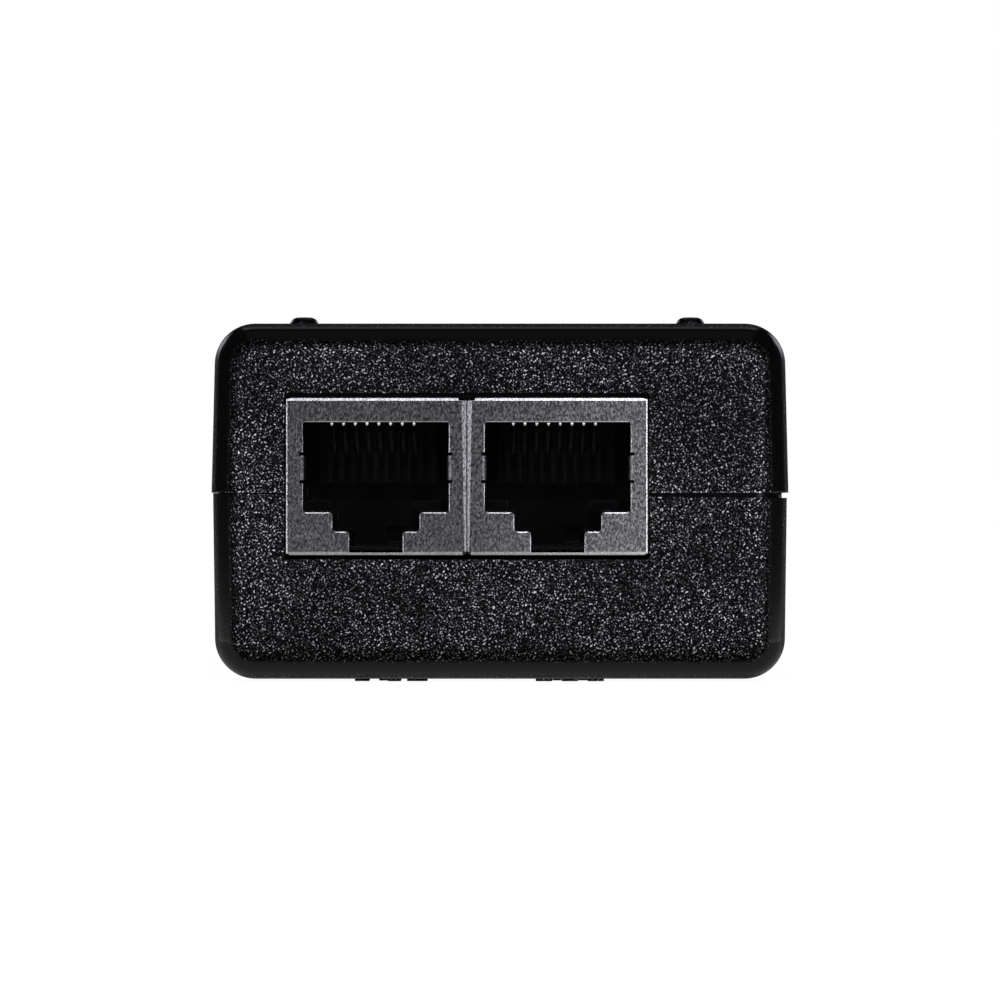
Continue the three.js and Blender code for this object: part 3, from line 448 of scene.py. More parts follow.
def laminate():
    look = Shader("board_laminate", (0.006, 0.05, 0.018), 0.35)
    look.set("Specular IOR Level", 0.2)
    patches = look.noise(2.5 * MM, detail=2)
    # Painted shade: the board's own dark green is darkened to near black, as shade for its edge where it
    # shows in the gap above the jacks. The patches vary at random
    look.color(patches, (0.001, 0.006, 0.002), (0.0015, 0.009, 0.003), *NOISE_RANGE)
    look.bump(look.noise(0.5 * MM, detail=2), 0.01 * MM)
    return look.material


def lens():
    look = Shader("light_lens", (0.8, 0.86, 0.84), 0.12, ior=LENS_IOR)
    look.set("Transmission Weight", 0.85)
    look.bump(look.noise(0.4 * MM), 0.002 * MM)
    return look.material


# The plain materials: colour and roughness, and the grain's size and the shine where they differ
SMOOTH_PLASTICS = {
    "jack_plastic": dict(color=(0.004, 0.004, 0.0048), roughness=0.24, shine=0.14),
    "label_film": dict(color=(0.02, 0.02, 0.021), roughness=0.42, grain=0.2 * MM),
    "insulation_film": dict(color=(0.7, 0.68, 0.6), roughness=0.55),
    "inlet_plastic": dict(color=(0.01, 0.01, 0.011), roughness=0.36),
    "ferrite": dict(color=(0.03, 0.03, 0.035), roughness=0.6, grain=0.3 * MM),
    "component_plastic": dict(color=(0.02, 0.02, 0.022), roughness=0.5),
    "winding_tape": dict(color=(0.75, 0.55, 0.05), roughness=0.35),
    "capacitor_sleeve": dict(color=(0.02, 0.035, 0.08), roughness=0.3),
    "film_box": dict(color=(0.6, 0.4, 0.03), roughness=0.5),
    "blue_coat": dict(color=(0.03, 0.1, 0.4), roughness=0.3),
    "led_epoxy": dict(color=(0.1, 0.5, 0.12), roughness=0.2),
}
BARE_METALS = {
    "pin_metal": dict(color=(0.75, 0.75, 0.76), roughness=0.25),
    "heatsink_metal": dict(color=(0.7, 0.7, 0.71), roughness=0.38),
    "screw_steel": dict(color=(0.6, 0.6, 0.6), roughness=0.3),
    "copper_wire": dict(color=(0.6, 0.25, 0.1), roughness=0.3),
}
MATERIALS = {
    "case_plastic": case_plastic(),
    "shield_metal": shield_metal(),
    "contact_gold": wire_metal(),
    "board_laminate": laminate(),
    "light_lens": lens(),
    **{name: smooth_plastic(name, **look) for name, look in SMOOTH_PLASTICS.items()},
    **{name: bare_metal(name, **look) for name, look in BARE_METALS.items()},
}


# ------------------------------------------------------------------ case

PAST = 1 * MM  # how far a cutter reaches past what it cuts


def case_ring(half, draft, inset):
    """The case's section: corner arcs, and sides that lean in from the parting line."""
    radius = CORNER - inset
    high = TOP_Z - inset - radius
    low = BOTTOM_Z + inset + radius
    lean = math.tan(draft)
    top_x = half - inset - radius - lean * (high - PARTING_Z)
    bottom_x = half - inset - radius - lean * (PARTING_Z - low)
    side = half - inset
    return (
        [(side, PARTING_Z)]
        + arc((top_x, high), radius, 0, 90, CORNER_STEPS)
        + arc((-top_x, high), radius, 90, 180, CORNER_STEPS)
        + [(-side, PARTING_Z)]
        + arc((-bottom_x, low), radius, 180, 270, CORNER_STEPS)
        + arc((bottom_x, low), radius, 270, 360, CORNER_STEPS)
    )


def case_block(name, half, draft, inset=0.0):
    """The whole outside of the case, or the same smaller all round by inset."""
    radius = EDGE - inset
    end = CASE_LENGTH / 2 - inset
    stations = []
    for i in range(EDGE_STEPS + 1):
        a = math.radians(90 * i / EDGE_STEPS)
        stations.append((end - radius + radius * math.cos(a), radius - radius * math.sin(a)))
    rings = [(-y, inward) for y, inward in stations] + stations[::-1]
    middle = (FRONT_Y + REAR_Y) / 2
    return loft(name, [
        [(x, middle + y, z) for x, z in case_ring(half, draft, inset + inward)] for y, inward in rings
    ])


def layer(name, z):
    """Everything between two heights."""
    reach = 0.2
    return block(name, (-reach, reach), (-reach, reach), z)


JACK_SIDE_GAP = 0.1 * MM
JACK_LEVEL_GAP = 0.35 * MM
INLET_GAP = 0.25 * MM

# The inlet's nose, with its heights taken down from the tips of the feet
INLET_HALF = 9.4 * MM
INLET_HIGH_Z = base_high.z - 8.0 * MM
INLET_LOW_Z = base_high.z - 22.9 * MM


def end_openings():
    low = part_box("port_a_shield")[0]
    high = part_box("port_b_shield")[1]
    jacks = block(
        "jack_opening",
        (low.x - JACK_SIDE_GAP, high.x + JACK_SIDE_GAP),
        (FRONT_Y - PAST, FRONT_Y + WALL + PAST),
        (low.z - JACK_LEVEL_GAP, BOARD_Z + JACK_LEVEL_GAP),
    )
    inlet = block(
        "inlet_opening",
        (-INLET_HALF - INLET_GAP, INLET_HALF + INLET_GAP),
        (REAR_Y - WALL - PAST, REAR_Y + PAST),
        (INLET_LOW_Z - INLET_GAP, INLET_HIGH_Z + INLET_GAP),
    )
    return [jacks, inlet]


RECESS_GAP = 0.3 * MM  # round the label
RECESS_DEPTH = 0.3 * MM
RECESS_CORNER = 1.5 * MM


def label_recess():
    low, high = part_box("rating_label")
    outline = rectangle(
        (low.x - RECESS_GAP, high.x + RECESS_GAP), (low.y - RECESS_GAP, high.y + RECESS_GAP))
    return prism_z("recess", fillet(outline, RECESS_CORNER, 8), (TOP_Z - RECESS_DEPTH, TOP_Z + PAST))


OUTER_SKIN = 0.3 * MM
RIM_ROUNDING = 0.12 * MM


def outer_edge(middle):
    """Edges that show on the outside of the case: the rim, the openings and the label recess."""
    inside_x = abs(middle.x) < BASE_HALF - WALL + OUTER_SKIN
    inside_y = FRONT_Y + OUTER_SKIN < middle.y < REAR_Y - OUTER_SKIN
    deep = RECESS_DEPTH + 0.05 * MM
    inside_z = BOTTOM_Z + deep < middle.z < TOP_Z - deep
    return not (inside_x and inside_y and inside_z)


FOOT_X = (-17.24 * MM, 16.76 * MM)
FOOT_Y = (-34.5 * MM, 34.5 * MM)
FOOT_RADIUS = 1.25 * MM
FOOT_CROWN = 0.5 * MM  # radius of the flat on the tip
FOOT_SIDE = 0.1 * MM  # how far a foot rises before its dome starts
FOOT_BURIED = 0.5 * MM


def foot(x, y):
    """A short stud with a domed tip and a small fillet at its root."""
    flare = FOOT_RADIUS + 0.14 * MM
    root = (FOOT_RADIUS + 0.05 * MM, TOP_Z + 0.04 * MM)
    profile = [(flare, TOP_Z - FOOT_BURIED), (flare, TOP_Z), root]
    for i in range(11):
        a = math.radians(90 * i / 10)
        height = FOOT_SIDE + (FOOT_HEIGHT - FOOT_SIDE) * math.sin(a)
        profile.append((FOOT_CROWN + (FOOT_RADIUS - FOOT_CROWN) * math.cos(a), TOP_Z + height))
    profile.append((FOOT_CROWN * 0.5, TOP_Z + FOOT_HEIGHT))
    return turned_z("foot", (x, y), profile)


TONGUE_INSET = 1.45 * MM


def build_base():
    shell = case_block("base_shell_fine", BASE_HALF, BASE_DRAFT)
    keep(shell, layer("above", (PARTING_Z, TOP_Z + PAST)))
    tongue = case_block("tongue", BASE_HALF, BASE_DRAFT, TONGUE_INSET)
    keep(tongue, layer("band", (PARTING_Z - TONGUE, PARTING_Z + PAST)))
    join(shell, tongue)
    cut(shell, case_block("cavity", BASE_HALF, BASE_DRAFT, WALL), *end_openings(), label_recess())
    soften(shell, outer_edge, RIM_ROUNDING)
    for x in FOOT_X:
        for y in FOOT_Y:
            join(shell, foot(x, y))
    return shell


RIM_GAP = 0.01 * MM
LID_RIM = PARTING_Z - RIM_GAP
REBATE_INSET = 1.2 * MM
REBATE_DEPTH = 1.8 * MM
PIPE_HOLE = 1.7 * MM

# The reveal: a shallow groove below the base's rim. It opens over a short ramp at port A's side and
# grows wider up to port B's side
REVEAL_DEPTH = 0.45 * MM
REVEAL_RAMP = 1.5 * MM
REVEAL_LOW = 0.1 * MM
REVEAL_HIGH = 0.43 * MM


def reveal_cut():
    wedge = prism_y("wedge", [
        (-BASE_HALF, LID_RIM), (REVEAL_RAMP - BASE_HALF, LID_RIM - REVEAL_LOW),
        (BASE_HALF, LID_RIM - REVEAL_HIGH), (BASE_HALF, LID_RIM + PAST), (-BASE_HALF, LID_RIM + PAST),
    ], (FRONT_Y - PAST, REAR_Y + PAST))
    return cut(wedge, case_block("core", LID_HALF, LID_DRAFT, REVEAL_DEPTH))


def pipe_hole():
    low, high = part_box("light_pipe")
    centre = ((low.x + high.x) / 2, (low.y + high.y) / 2)
    ends = [(PIPE_HOLE, BOTTOM_Z - PAST), (PIPE_HOLE, BOTTOM_Z + WALL + PAST)]
    return turned_z("pipe_hole", centre, ends)


def build_lid():
    shell = case_block("lid_shell_fine", LID_HALF, LID_DRAFT)
    keep(shell, layer("below", (BOTTOM_Z - PAST, LID_RIM)))
    rebate = case_block("rebate", LID_HALF, LID_DRAFT, REBATE_INSET)
    keep(rebate, layer("band", (LID_RIM - REBATE_DEPTH, LID_RIM + PAST)))
    cut(shell, case_block("cavity", LID_HALF, LID_DRAFT, WALL), rebate)
    cut(shell, reveal_cut(), *end_openings(), pipe_hole())
    soften(shell, outer_edge, RIM_ROUNDING)
    for mark in lid_marks():
        join(shell, mark)
    return shell


def paint_reveal_shade(lid):
    """Painted shade: the floor of the reveal round the lid's rim gets smooth dark plastic, without the
    grain's painted glints, so that the groove shows as a dark line.
    """
    lid.data.materials.append(MATERIALS["jack_plastic"])
    slack = 0.02 * MM
    for face in lid.data.polygons:
        x, y, z = face.center
        behind = abs(x) < LID_HALF - OUTER_SKIN and FRONT_Y + OUTER_SKIN < y < REAR_Y - OUTER_SKIN
        if behind and LID_RIM - REVEAL_HIGH - slack < z < LID_RIM + slack:
            face.material_index = 1


MARK_Y = FRONT_Y + 6.2 * MM
MARK_SHIFT = 1.1 * MM  # from the middle of the mark's jack
MARK_LEVEL = (BOTTOM_Z - MARK_HEIGHT, BOTTOM_Z + 0.3 * MM)
MARK_ROUNDING = 0.06 * MM


def network_outline():
    """One box over three, with the lines that link them, in millimetres."""
    box_half, line_half, spacing = 0.72, 0.18, 2.25
    box_near, box_far = 0.75, 2.2
    reach = spacing + line_half
    right = [
        (box_half, box_far), (box_half, box_near), (line_half, box_near), (line_half, line_half),
        (reach, line_half), (reach, -box_near), (spacing + box_half, -box_near),
        (spacing + box_half, -box_far), (spacing - box_half, -box_far), (spacing - box_half, -box_near),
        (spacing - line_half, -box_near), (spacing - line_half, -line_half), (line_half, -line_half),
        (line_half, -box_near), (box_half, -box_near), (box_half, -box_far),
    ]
    return (right + mirrored(right))[::-1]


# The marks at port A, as outlines in millimetres
POWER_BLOCK = rectangle((-3.05, -1.75), (-1.9, -0.6))
POWER_BOLT = [(1.0, 0.1), (-0.1, 0.1), (0.1, 2.2), (-1.0, -0.6), (0.1, -0.6), (-0.2, -2.2), (1.0, -2.2)]
POWER_ARROW = [(2.4, -0.3), (1.4, -1.9), (3.4, -1.9)]


def port_mark(name, x, points, corner=0.12):
    """A raised shape at a place across the lid, with rounded corners and edges."""
    outline = fillet([(a * MM, b * MM) for a, b in points], corner * MM, 3)
    mark = prism_z(name, [(x + a, MARK_Y + b) for a, b in outline], MARK_LEVEL)
    return soften(mark, lambda middle: middle.z < MARK_LEVEL[0] + 0.01 * MM, MARK_ROUNDING)


def wave_mark():
    """A band along one turn of a sine by the inlet, as high as the other marks."""
    half_length, rise, half_width = 6, 1.5, 0.6
    turns = [i / 20 - 1 for i in range(41)]
    middle = [(half_length * t, rise * math.sin(math.pi * t)) for t in turns]
    outline = [(x, y - half_width) for x, y in middle] + [(x, y + half_width) for x, y in middle[::-1]]
    return prism_z("wave", [(x * MM, y * MM - MARK_Y) for x, y in outline], MARK_LEVEL)


def lid_marks():
    """Raised signs: a bolt between two shapes at port A, a small network at port B, a wave by the inlet."""
    a_low, a_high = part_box("port_a_shield")
    b_low, b_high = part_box("port_b_shield")
    power_x = (a_low.x + a_high.x) / 2 + MARK_SHIFT
    network_x = (b_low.x + b_high.x) / 2 + MARK_SHIFT
    return [
        port_mark("block", power_x, POWER_BLOCK),
        port_mark("bolt", power_x, POWER_BOLT, corner=0.08),
        port_mark("arrow", power_x, POWER_ARROW),
        port_mark("network", network_x, network_outline(), corner=0.06),
        wave_mark(),
    ]


def build_case():
    finish_piece(smooth(build_base()), "case_plastic", ["base_shell"])
    paint_reveal_shade(finish_piece(smooth(build_lid()), "case_plastic", ["lid_shell"]))


# ------------------------------------------------------------------ jacks
# A jack's outlines and places are in millimetres. Values with MM are in metres, as elsewhere

WINDOW_TOP = 2.15
WINDOW_SHOULDER = 9.95
WINDOW_STEP = 11.61
WINDOW_FOOT = 13.41
WINDOW_HALF = 6.3
MIDDLE_HALF = 3.76
LATCH_HALF = 2.31
SHEET = 0.25
CLEAR = 1  # how far a cutter reaches past what it cuts


class Jack:
    """Places for one jack, in millimetres: across its middle, back from its face and down from the board."""

    def __init__(self, port):
        self.port = port
        self.low, self.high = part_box(f"port_{port}_shield")
        self.middle = (self.low.x + self.high.x) / 2
        self.half = (self.high.x - self.low.x) / 2 / MM
        self.height = (BOARD_Z - self.low.z) / MM
        self.depth = (self.high.y - self.low.y) / MM
        self.joint_side = 1 if port == "a" else -1  # the side that the other jack is on

    def x(self, across):
        return self.middle + across * MM

    def y(self, back):
        return self.low.y + back * MM

    def z(self, down):
        return BOARD_Z - down * MM

    def block(self, name, across, back, down):
        return block(
            name,
            (self.x(across[0]), self.x(across[1])),
            (self.y(back[0]), self.y(back[1])),
            (self.z(down[1]), self.z(down[0])),
        )

    def prism(self, name, outline, back):
        return prism_y(name, [(self.x(u), self.z(w)) for u, w in outline], (self.y(back[0]), self.y(back[1])))

    def loft(self, name, rings):
        """A solid through (back, outline) rings, with the outlines across and down."""
        return loft(name, [
            [(self.x(u), self.y(back), self.z(w)) for u, w in outline] for back, outline in rings
        ])


def window_outline(grow):
    """The stepped window, or the same larger all round by grow."""
    right = [
        (WINDOW_HALF, WINDOW_TOP - 2 * grow), (WINDOW_HALF, WINDOW_SHOULDER), (MIDDLE_HALF, WINDOW_SHOULDER),
        (MIDDLE_HALF, WINDOW_STEP), (LATCH_HALF, WINDOW_STEP), (LATCH_HALF, WINDOW_FOOT - grow),
    ]
    right = [(u + grow, w + grow) for u, w in right]
    radii = [0.22, 0.3, 0.3, 0.3, 0.3, 0.02]
    return fillet(right + mirrored(right), radii + radii[::-1], 6)


# The slight lean round the window
WINDOW_RIM = 0.08
WINDOW_SLOPE = math.tan(math.radians(9.5))


def window_cut(jack):
    """What the window takes out of the shield's face, with the lean round it."""
    behind = SHEET + 0.15
    stations = [(-CLEAR, WINDOW_RIM), (0, WINDOW_RIM), (WINDOW_RIM * WINDOW_SLOPE, 0), (behind, 0)]
    return jack.loft("window", [(back, window_outline(grow)) for back, grow in stations])


# The fold along the shield's front edges, as depth and inset: above and below, on the outer side,
# and where the two shields meet
FOLD_LEVEL = [(0, 0.32), (0.031, 0.1), (0.06, 0.05), (0.15, 0.015), (0.24, 0)]
FOLD_SIDE = [(0, 0.17), (0.012, 0.08), (0.045, 0.04), (0.15, 0.012), (0.24, 0)]
FOLD_JOINT = [(0, 0.004), (0.02, 0.003), (0.06, 0.002), (0.15, 0.001), (0.24, 0)]
SHELL_CORNER = 0.3
SMALLEST_CORNER = 0.02


def folded_shell(jack, name, half, back, down):
    """A block whose front edges are folded over."""
    left, right = (FOLD_SIDE, FOLD_JOINT) if jack.joint_side > 0 else (FOLD_JOINT, FOLD_SIDE)
    rings = []
    for i, (depth, inset) in enumerate(FOLD_LEVEL):
        across = (left[i][1] - half, half - right[i][1])
        corner = max(SHELL_CORNER - inset, SMALLEST_CORNER)
        outline = fillet(rectangle(across, (down[0] + inset, down[1] - inset)), corner, 6)
        rings.append((back[0] + depth, outline))
    rings.append((back[1], rings[-1][1]))
    return jack.loft(name, rings)


# Where the shields meet, their faces lean back over a strip that is wider next to the board
LEAN_SLOPE = math.tan(math.radians(8.5))
LEAN_WIDTHS = (0.42, 0.16)


def lean_cut(jack, side):
    """What the lean takes off the shield's face."""
    past = 0.5
    edge = jack.half + past
    rings = []
    for down, width in zip((-past, jack.height + past), LEAN_WIDTHS):
        start = jack.half - width
        outline = [(start, 0), (edge, LEAN_SLOPE * (edge - start)), (edge, -past), (start, -past)]
        rings.append([(jack.x(side * u), jack.y(d), jack.z(down)) for u, d in outline])
    return loft("lean", rings)


# The notches at the ends of the folds: width, height, and whether at the top
NOTCHES_AT_JOINT = [(0.68, 0.3, True), (0.32, 0.34, False)]
NOTCHES_OUTSIDE = [(0.42, 0.13, True), (0.3, 0.15, False)]
NOTCH_DEPTH = 4


def notches(jack, side):
    cutters = []
    for wide, tall, at_top in NOTCHES_AT_JOINT if side == jack.joint_side else NOTCHES_OUTSIDE:
        across = sorted((side * (jack.half - wide), side * (jack.half + CLEAR)))
        down = (-CLEAR, tall) if at_top else (jack.height - tall, jack.height + CLEAR)
        cutters.append(jack.block("notch", across, (-CLEAR, NOTCH_DEPTH), down))
    return cutters


# The side springs: the slot that each comes out of, and its leaf as (across, back) points
SPRING_SLOT = (6.0, 6.62)
SPRING_SLOT_DOWN = (4.76, 7.44)
SPRING_DOWN = (5.05, 7.15)
SPRING_SHEET = 0.2
SPRING_LINE = [
    (6.9, 0.13), (6.62, 0.13), (6.5, 0.136), (6.38, 0.152), (6.32, 0.2), (6.3, 0.4),
    (6.28, 0.8), (6.24, 1.3), (6.2, 1.8), (6.22, 2.2), (6.28, 2.6),
]


def spring_slot(jack, side):
    across = sorted(side * u for u in SPRING_SLOT)
    return jack.prism("spring_slot", fillet(rectangle(across, SPRING_SLOT_DOWN), 0.12), (-CLEAR, 0.3))


def spring_leaf(jack, side):
    """A leaf of sheet that follows the spring's line, standing along Z."""
    line = [Vector((side * u, back)) for u, back in SPRING_LINE]
    left, right = [], []
    for i, here in enumerate(line):
        along = line[min(i + 1, len(line) - 1)] - line[max(i - 1, 0)]
        offset = Vector((-along.y, along.x)).normalized() * SPRING_SHEET / 2
        left.append(here + offset)
        right.append(here - offset)
    outline = [(jack.x(p.x), jack.y(p.y)) for p in left + right[::-1]]
    return prism_z("leaf", outline, (jack.z(SPRING_DOWN[1]), jack.z(SPRING_DOWN[0])))


UNDER_FROM = 3.2  # the shield is open towards the board from here back
LEG_BACK = (8.1, 9.1)
LEG_LENGTH = 3
FACE_DEPTH = 0.6
FACE_ROUNDING = 0.03 * MM


def build_shield(jack):
    inner = jack.half - SHEET
    rear = jack.depth - SHEET
    shield = folded_shell(jack, f"port_{jack.port}_shield_fine", jack.half, (0, jack.depth), (0, jack.height))
    inside = folded_shell(jack, "inside", inner, (SHEET, rear), (SHEET, jack.height - SHEET))
    cut(shield, inside, jack.block("under", (-inner, inner), (UNDER_FROM, rear), (-CLEAR, CLEAR)))
    cut(shield, window_cut(jack))
    for side in (-1, 1):
        cut(shield, spring_slot(jack, side), *notches(jack, side))
        if side == jack.joint_side:
            cut(shield, lean_cut(jack, side))
    joint = jack.x(jack.joint_side * jack.half)
    soften(
        shield, lambda middle: middle.y < jack.y(FACE_DEPTH) and abs(middle.x - joint) > 0.1 * MM,
        FACE_ROUNDING)
    for side in (-1, 1):
        leg = sorted((side * jack.half, side * inner))
        join(shield, spring_leaf(jack, side), jack.block("leg", leg, LEG_BACK, (-LEG_LENGTH, CLEAR)))
    return smooth(shield, angle=8)


# A contact wire, as back and down: round its front bend, then back and away from the board
WIRE_RADIUS = 0.17
BEND_RADIUS = 0.25
BEND_CENTRE = (1.35, 2.18)
WIRE_SLOPE = 14
WIRE_END = 10.3
WIRE_STRETCHES = (0.25, 0.5, 0.75, 0.985, 1.0)  # the last one is the tapered end
WIRE_TAPER = 0.6
WIRE_SIDES = 12
CONTACTS = 8


def wire_path():
    slope = math.radians(WIRE_SLOPE)
    reach = (WIRE_END - BEND_CENTRE[0]) / math.cos(slope)
    path = arc(BEND_CENTRE, BEND_RADIUS, 270, 90 + WIRE_SLOPE, 12)
    back, down = path[-1]
    for t in WIRE_STRETCHES:
        path.append((back + math.cos(slope) * reach * t, down + math.sin(slope) * reach * t))
    return path


def build_wire(jack, index):
    """One sprung contact: round wire from the front bend back to its free end behind the comb."""
    node = f"port_{jack.port}_contact_{index}"
    low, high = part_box(node)
    across = (low.x + high.x) / 2
    path = wire_path()
    rings = []
    for i, (back, down) in enumerate(path):
        before, after = path[max(i - 1, 0)], path[min(i + 1, len(path) - 1)]
        along = Vector((after[0] - before[0], after[1] - before[1])).normalized()
        normal = Vector((-along.y, along.x))
        size = WIRE_RADIUS * (WIRE_TAPER if i in (0, len(path) - 1) else 1)
        ring = []
        for k in range(WIRE_SIDES):
            a = 2 * math.pi * k / WIRE_SIDES
            off = normal * (size * math.sin(a))
            ring.append((across + size * MM * math.cos(a), jack.y(back + off.x), jack.z(down + off.y)))
        rings.append(ring)
    wire = smooth(loft(node + "_wire", rings), angle=50)
    return finish_piece(wire, "contact_gold", [node], body=f"port_{jack.port}_contacts")


def soft_copy(node, width, slot, extra=()):
    """A piece with a CAD node's shape and rounded edges."""
    piece = bpy.data.objects.new(node + "_fine", frame["nodes"][node].data.copy())
    bpy.context.scene.collection.objects.link(piece)
    soften(piece, lambda middle: True, width)
    smooth(piece)
    finish_piece(piece, slot, [node])
    for material in extra:
        piece.data.materials.append(MATERIALS[material])
    return piece


HOUSING_ROUNDING = 0.08 * MM
CARRIER_ROUNDING = 0.01 * MM
# The flange that closes the gap round the contact carrier: across, back and down
FLANGE = ((-5.24, 5.24), (11.4, 11.9), (0.45, 7.49))
STRANDS_BEFORE = 9.6  # back
TAILS_ABOVE = 0.15  # down


def build_jack(port):
    jack = Jack(port)
    finish_piece(build_shield(jack), "shield_metal", [f"port_{port}_shield"])
    soft_copy(f"port_{port}_housing", HOUSING_ROUNDING, "jack_plastic")
    carrier = soft_copy(
        f"port_{port}_contact_carrier", CARRIER_ROUNDING, "jack_plastic", ["contact_gold"])
    join(carrier, jack.block("flange", *FLANGE))
    for face in carrier.data.polygons:
        strand = face.center.y < jack.y(STRANDS_BEFORE)
        tail = face.center.z > jack.z(TAILS_ABOVE)
        face.material_index = 1 if strand or tail else 0
    for index in range(1, CONTACTS + 1):
        build_wire(jack, index)


# ------------------------------------------------------------------ mains inlet

INLET_BODY_CORNER = 0.6 * MM
INLET_NOSE_CORNER = 1.0 * MM
INLET_ROUNDING = 0.18 * MM
INLET_WALL_GAP = 0.2 * MM  # between the inside of the case's end and the inlet's body
NOSE_OVERLAP = 0.5 * MM
INLET_RECESS = 10 * MM
LOBE_RADIUS = 3.9 * MM
# The room between the lobes runs from this far above the line pin's axis to the earth pin's axis
ROOM_START = 1.6 * MM
PIN_RADIUS = 1.2 * MM
PIN_TIP = 0.45 * MM  # radius round the tip
PIN_GAP = 0.15 * MM
PIN_TAIL_HALF = 0.7 * MM
PIN_TAIL_DEPTH = 0.8 * MM


def inlet_recess(centres, face_y):
    """The socket's opening: a lobe round each pin, and the room between them."""
    line_x, line_z = centres["line"]
    earth_z = centres["earth"][1]
    back_y = face_y - INLET_RECESS
    level = sorted((line_z + ROOM_START, earth_z))
    recess = block("recess", (-abs(line_x), abs(line_x)), (back_y, face_y + PAST), level)
    for centre in centres.values():
        join(recess, turned_y("lobe", centre, [(LOBE_RADIUS, back_y), (LOBE_RADIUS, face_y + PAST)], 56))
    return recess


def build_inlet():
    low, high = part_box("inlet_housing")
    pins = {name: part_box(f"inlet_pin_{name}") for name in ("line", "neutral", "earth")}
    centres = {name: ((a.x + b.x) / 2, a.z + PIN_RADIUS) for name, (a, b) in pins.items()}
    face_y = high.y
    wall_y = REAR_Y - WALL - INLET_WALL_GAP
    outline = fillet(rectangle((low.x, high.x), (low.z, high.z)), INLET_BODY_CORNER)
    body = prism_y("inlet_housing_fine", outline, (low.y, wall_y))
    nose = rectangle((-INLET_HALF, INLET_HALF), (INLET_LOW_Z, INLET_HIGH_Z))
    join(body, prism_y("nose", fillet(nose, INLET_NOSE_CORNER, 8), (wall_y - NOSE_OVERLAP, face_y)))
    cut(body, inlet_recess(centres, face_y))
    bore = PIN_RADIUS + PIN_GAP
    for centre in centres.values():
        cut(body, turned_y("bore", centre, [(bore, low.y - PAST), (bore, face_y - INLET_RECESS + PAST)], 32))
    soften(body, lambda middle: middle.y > face_y - 0.5 * MM, INLET_ROUNDING, 3)
    finish_piece(smooth(body), "inlet_plastic", ["inlet_housing"])
    for name, centre in centres.items():
        build_pin(name, centre, *pins[name])


def build_pin(name, centre, low, high):
    x, z = centre
    tip = arc((PIN_RADIUS - PIN_TIP, high.y - PIN_TIP), PIN_TIP, 0, 90, 6)
    pin = turned_y(f"inlet_pin_{name}_fine", centre, [(PIN_RADIUS, low.y)] + tip, 32)
    tail = block("tail", (x - PIN_TAIL_HALF, x + PIN_TAIL_HALF), (low.y, low.y + PIN_TAIL_DEPTH), (z, high.z))
    finish_piece(smooth(join(pin, tail)), "pin_metal", [f"inlet_pin_{name}"])


# ------------------------------------------------------------------ label and light

LABEL_CORNER = 1.2 * MM
LABEL_ROUNDING = 0.03 * MM


def build_label():
    low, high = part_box("rating_label")
    outline = fillet(rectangle((low.x, high.x), (low.y, high.y)), LABEL_CORNER, 10)
    label = prism_z("rating_label_fine", outline, (low.z, high.z))
    soften(label, lambda middle: middle.z > high.z - 0.01 * MM, LABEL_ROUNDING)
    finish_piece(smooth(label), "label_film", ["rating_label"])


PIPE_RADIUS = 1.5 * MM
# The pipe's domed tip, as radius and height
PIPE_TIP = [(0.35 * MM, 0), (0.9 * MM, 0.04 * MM), (1.25 * MM, 0.12 * MM), (PIPE_RADIUS, 0.3 * MM)]
PIPE_FLANGE_GAP = 0.15 * MM
PIPE_FLANGE_TOP = 1.2 * MM


def build_light_pipe():
    low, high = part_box("light_pipe")
    centre = ((low.x + high.x) / 2, (low.y + high.y) / 2)
    flange = (high.x - low.x) / 2
    flange_low = BOTTOM_Z + WALL + PIPE_FLANGE_GAP
    flange_high = BOTTOM_Z + WALL + PIPE_FLANGE_TOP
    profile = [(radius, low.z + height) for radius, height in PIPE_TIP]
    profile += [(PIPE_RADIUS, flange_low), (flange, flange_low), (flange, flange_high)]
    profile += [(PIPE_RADIUS, flange_high), (PIPE_RADIUS, high.z)]
    pipe = turned_z("light_pipe_fine", centre, profile)
    finish_piece(smooth(pipe), "light_lens", ["light_pipe"])


# ------------------------------------------------------------------ carried-over CAD nodes

def dress_cad_nodes():
    for entry in frame["record"]["subparts"]:
        node = frame["nodes"][entry["node"]]
        node.data.materials.clear()
        node.data.materials.append(MATERIALS[entry["material_slot"]])


# ------------------------------------------------------------------ stage, light and camera

def stage():
    reach, thickness = 3, 0.02
    floor = block("floor", (-reach, reach), (-reach, reach), (-thickness, 0))
    look = Shader("floor", (0.4, 0.4, 0.4), 0.8)
    look.set("Specular IOR Level", 0.1)
    floor.data.materials.append(look.material)
    add_sweep_glow(look)


# The light that the table gives the object: close by, and from a ring round it that starts and
# ends over these distances from the middle
TABLE_GLOW = 0.27
TABLE_SHEEN = 0.9
RING_STARTS = (0.062, 0.075)
RING_ENDS = (0.11, 0.16)
# How bright the floor looks, from near to far, and over which distances it changes
FLOOR_SHOWS = (0.95, 1.0)
FLOOR_FADE = (0.15, 1.2)


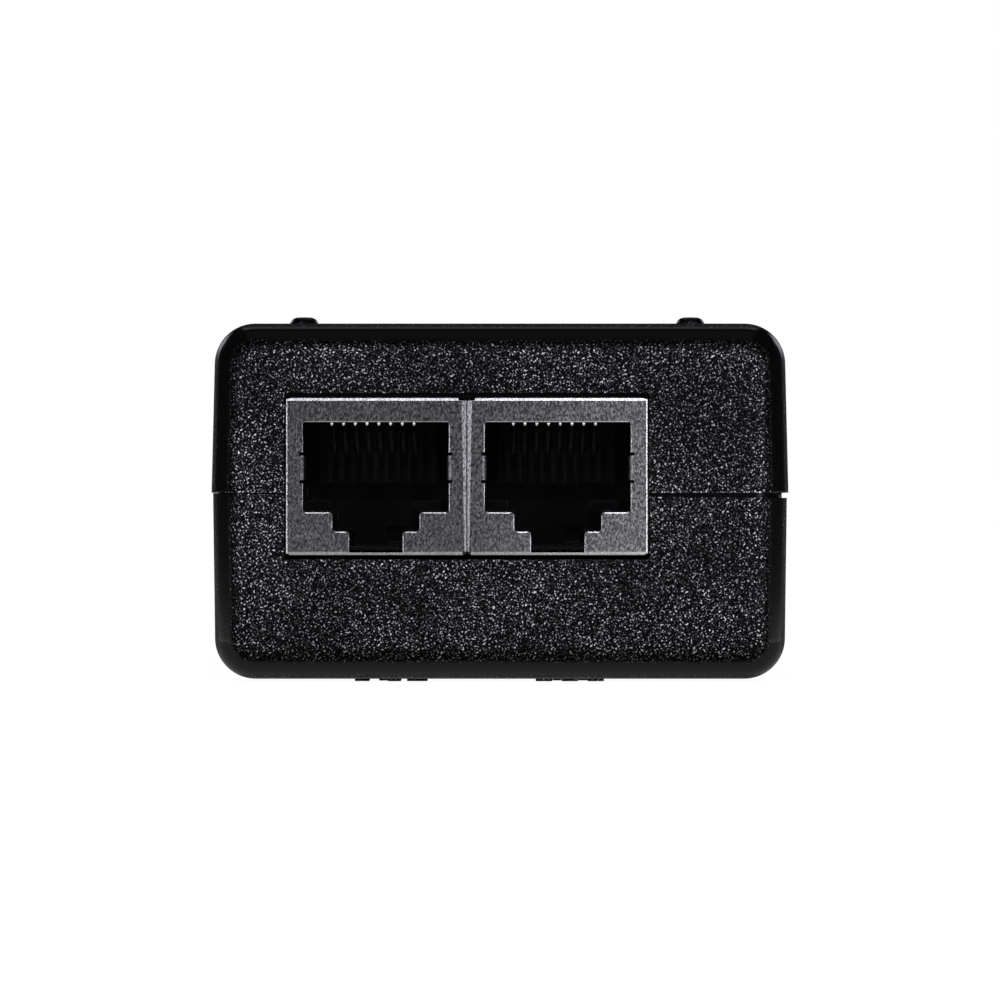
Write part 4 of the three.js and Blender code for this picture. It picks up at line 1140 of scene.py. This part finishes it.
def add_sweep_glow(look):
    """What the camera sees of the floor fades to the white of the backdrop, away from the object.
    The object itself is lit by the table's glow and ring."""
    length = look.node("ShaderNodeVectorMath")
    length.operation = "LENGTH"
    look.link(look.node("ShaderNodeTexCoord").outputs["Object"], length.inputs[0])
    away = length.outputs["Value"]
    ring = look.product(
        look.mapped(away, TABLE_GLOW, TABLE_SHEEN, *RING_STARTS), look.mapped(away, 1.0, 0.0, *RING_ENDS))
    seen = look.node("ShaderNodeMix")
    look.link(look.node("ShaderNodeLightPath").outputs["Is Camera Ray"], seen.inputs["Factor"])
    look.link(ring, seen.inputs["A"])
    look.link(look.mapped(away, *FLOOR_SHOWS, *FLOOR_FADE), seen.inputs["B"])
    look.set("Emission Color", (1, 1, 1, 1))
    look.link(seen.outputs["Result"], look.shader.inputs["Emission Strength"])


LAMP_COLOR = (0.98, 0.97, 1.08)  # slightly cool
LAMP_AIM = Vector((0, 0, 0.016))
# Place and size in metres, and power in watts
LAMPS = {
    "above": dict(place=(0.0, -0.85, 0.38), size=(0.2, 0.16), power=1.2),
    "right": dict(place=(0.42, -0.8, 0.09), size=(0.16, 0.16), power=1.2),
    "left": dict(place=(-0.42, -0.8, 0.09), size=(0.16, 0.16), power=1.0),
    "overhead": dict(place=(0.0, -0.15, 0.85), size=(0.6, 0.5), power=0.07),
    "rear_right": dict(place=(0.45, 0.5, 0.25), size=(0.3, 0.3), power=0.4),
    "rear_left": dict(place=(-0.45, 0.5, 0.25), size=(0.3, 0.3), power=0.4),
    "rear_above": dict(place=(0.0, 0.5, 0.8), size=(0.6, 0.3), power=0.3),
}


def softbox(name, place, size, power):
    data = bpy.data.lights.new(name, "AREA")
    data.shape = "RECTANGLE"
    data.size, data.size_y = size
    data.energy = power
    data.color = LAMP_COLOR
    lamp = bpy.data.objects.new(name, data)
    lamp.location = place
    lamp.rotation_euler = (LAMP_AIM - Vector(place)).to_track_quat("-Z", "Y").to_euler()
    bpy.context.scene.collection.objects.link(lamp)


BACKDROP = (1, 1, 1, 1)
ROOM_LIGHT = (0.0155, 0.0155, 0.0175, 1)


def room():
    """A white backdrop for the camera, with a faint even light for the object."""
    world = bpy.data.worlds.new("studio")
    world.use_nodes = True
    tree = world.node_tree
    path = tree.nodes.new("ShaderNodeLightPath")
    mix = tree.nodes.new("ShaderNodeMix")
    mix.data_type = "RGBA"
    mix.inputs[6].default_value = ROOM_LIGHT  # the node's colour inputs
    mix.inputs[7].default_value = BACKDROP
    tree.links.new(path.outputs["Is Camera Ray"], mix.inputs[0])
    tree.links.new(mix.outputs[2], tree.nodes["Background"].inputs["Color"])
    bpy.context.scene.world = world
    bpy.context.scene.view_settings.view_transform = "Standard"


FRAME_WIDTH = 86.2 * MM  # what the picture spans at the jacks' face
CAMERA_DISTANCE = 0.45
CAMERA_RISE = 0.1 * MM  # above the middle of the case
SENSOR = 36.0


def camera():
    data = bpy.data.cameras.new("camera")
    data.sensor_width = SENSOR
    data.lens = SENSOR * CAMERA_DISTANCE / FRAME_WIDTH
    data.clip_start = 0.01
    eye = bpy.data.objects.new("camera", data)
    face_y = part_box("port_a_shield")[0].y
    eye.location = (0, face_y - CAMERA_DISTANCE, (TOP_Z + BOTTOM_Z) / 2 + CAMERA_RISE)
    eye.rotation_euler = (math.pi / 2, 0, 0)
    bpy.context.scene.collection.objects.link(eye)
    bpy.context.scene.camera = eye


camera()
dress_cad_nodes()
build_case()
for port in "ab":
    build_jack(port)
build_inlet()
build_label()
build_light_pipe()
stage()
for name, lamp in LAMPS.items():
    softbox(name, **lamp)
room()
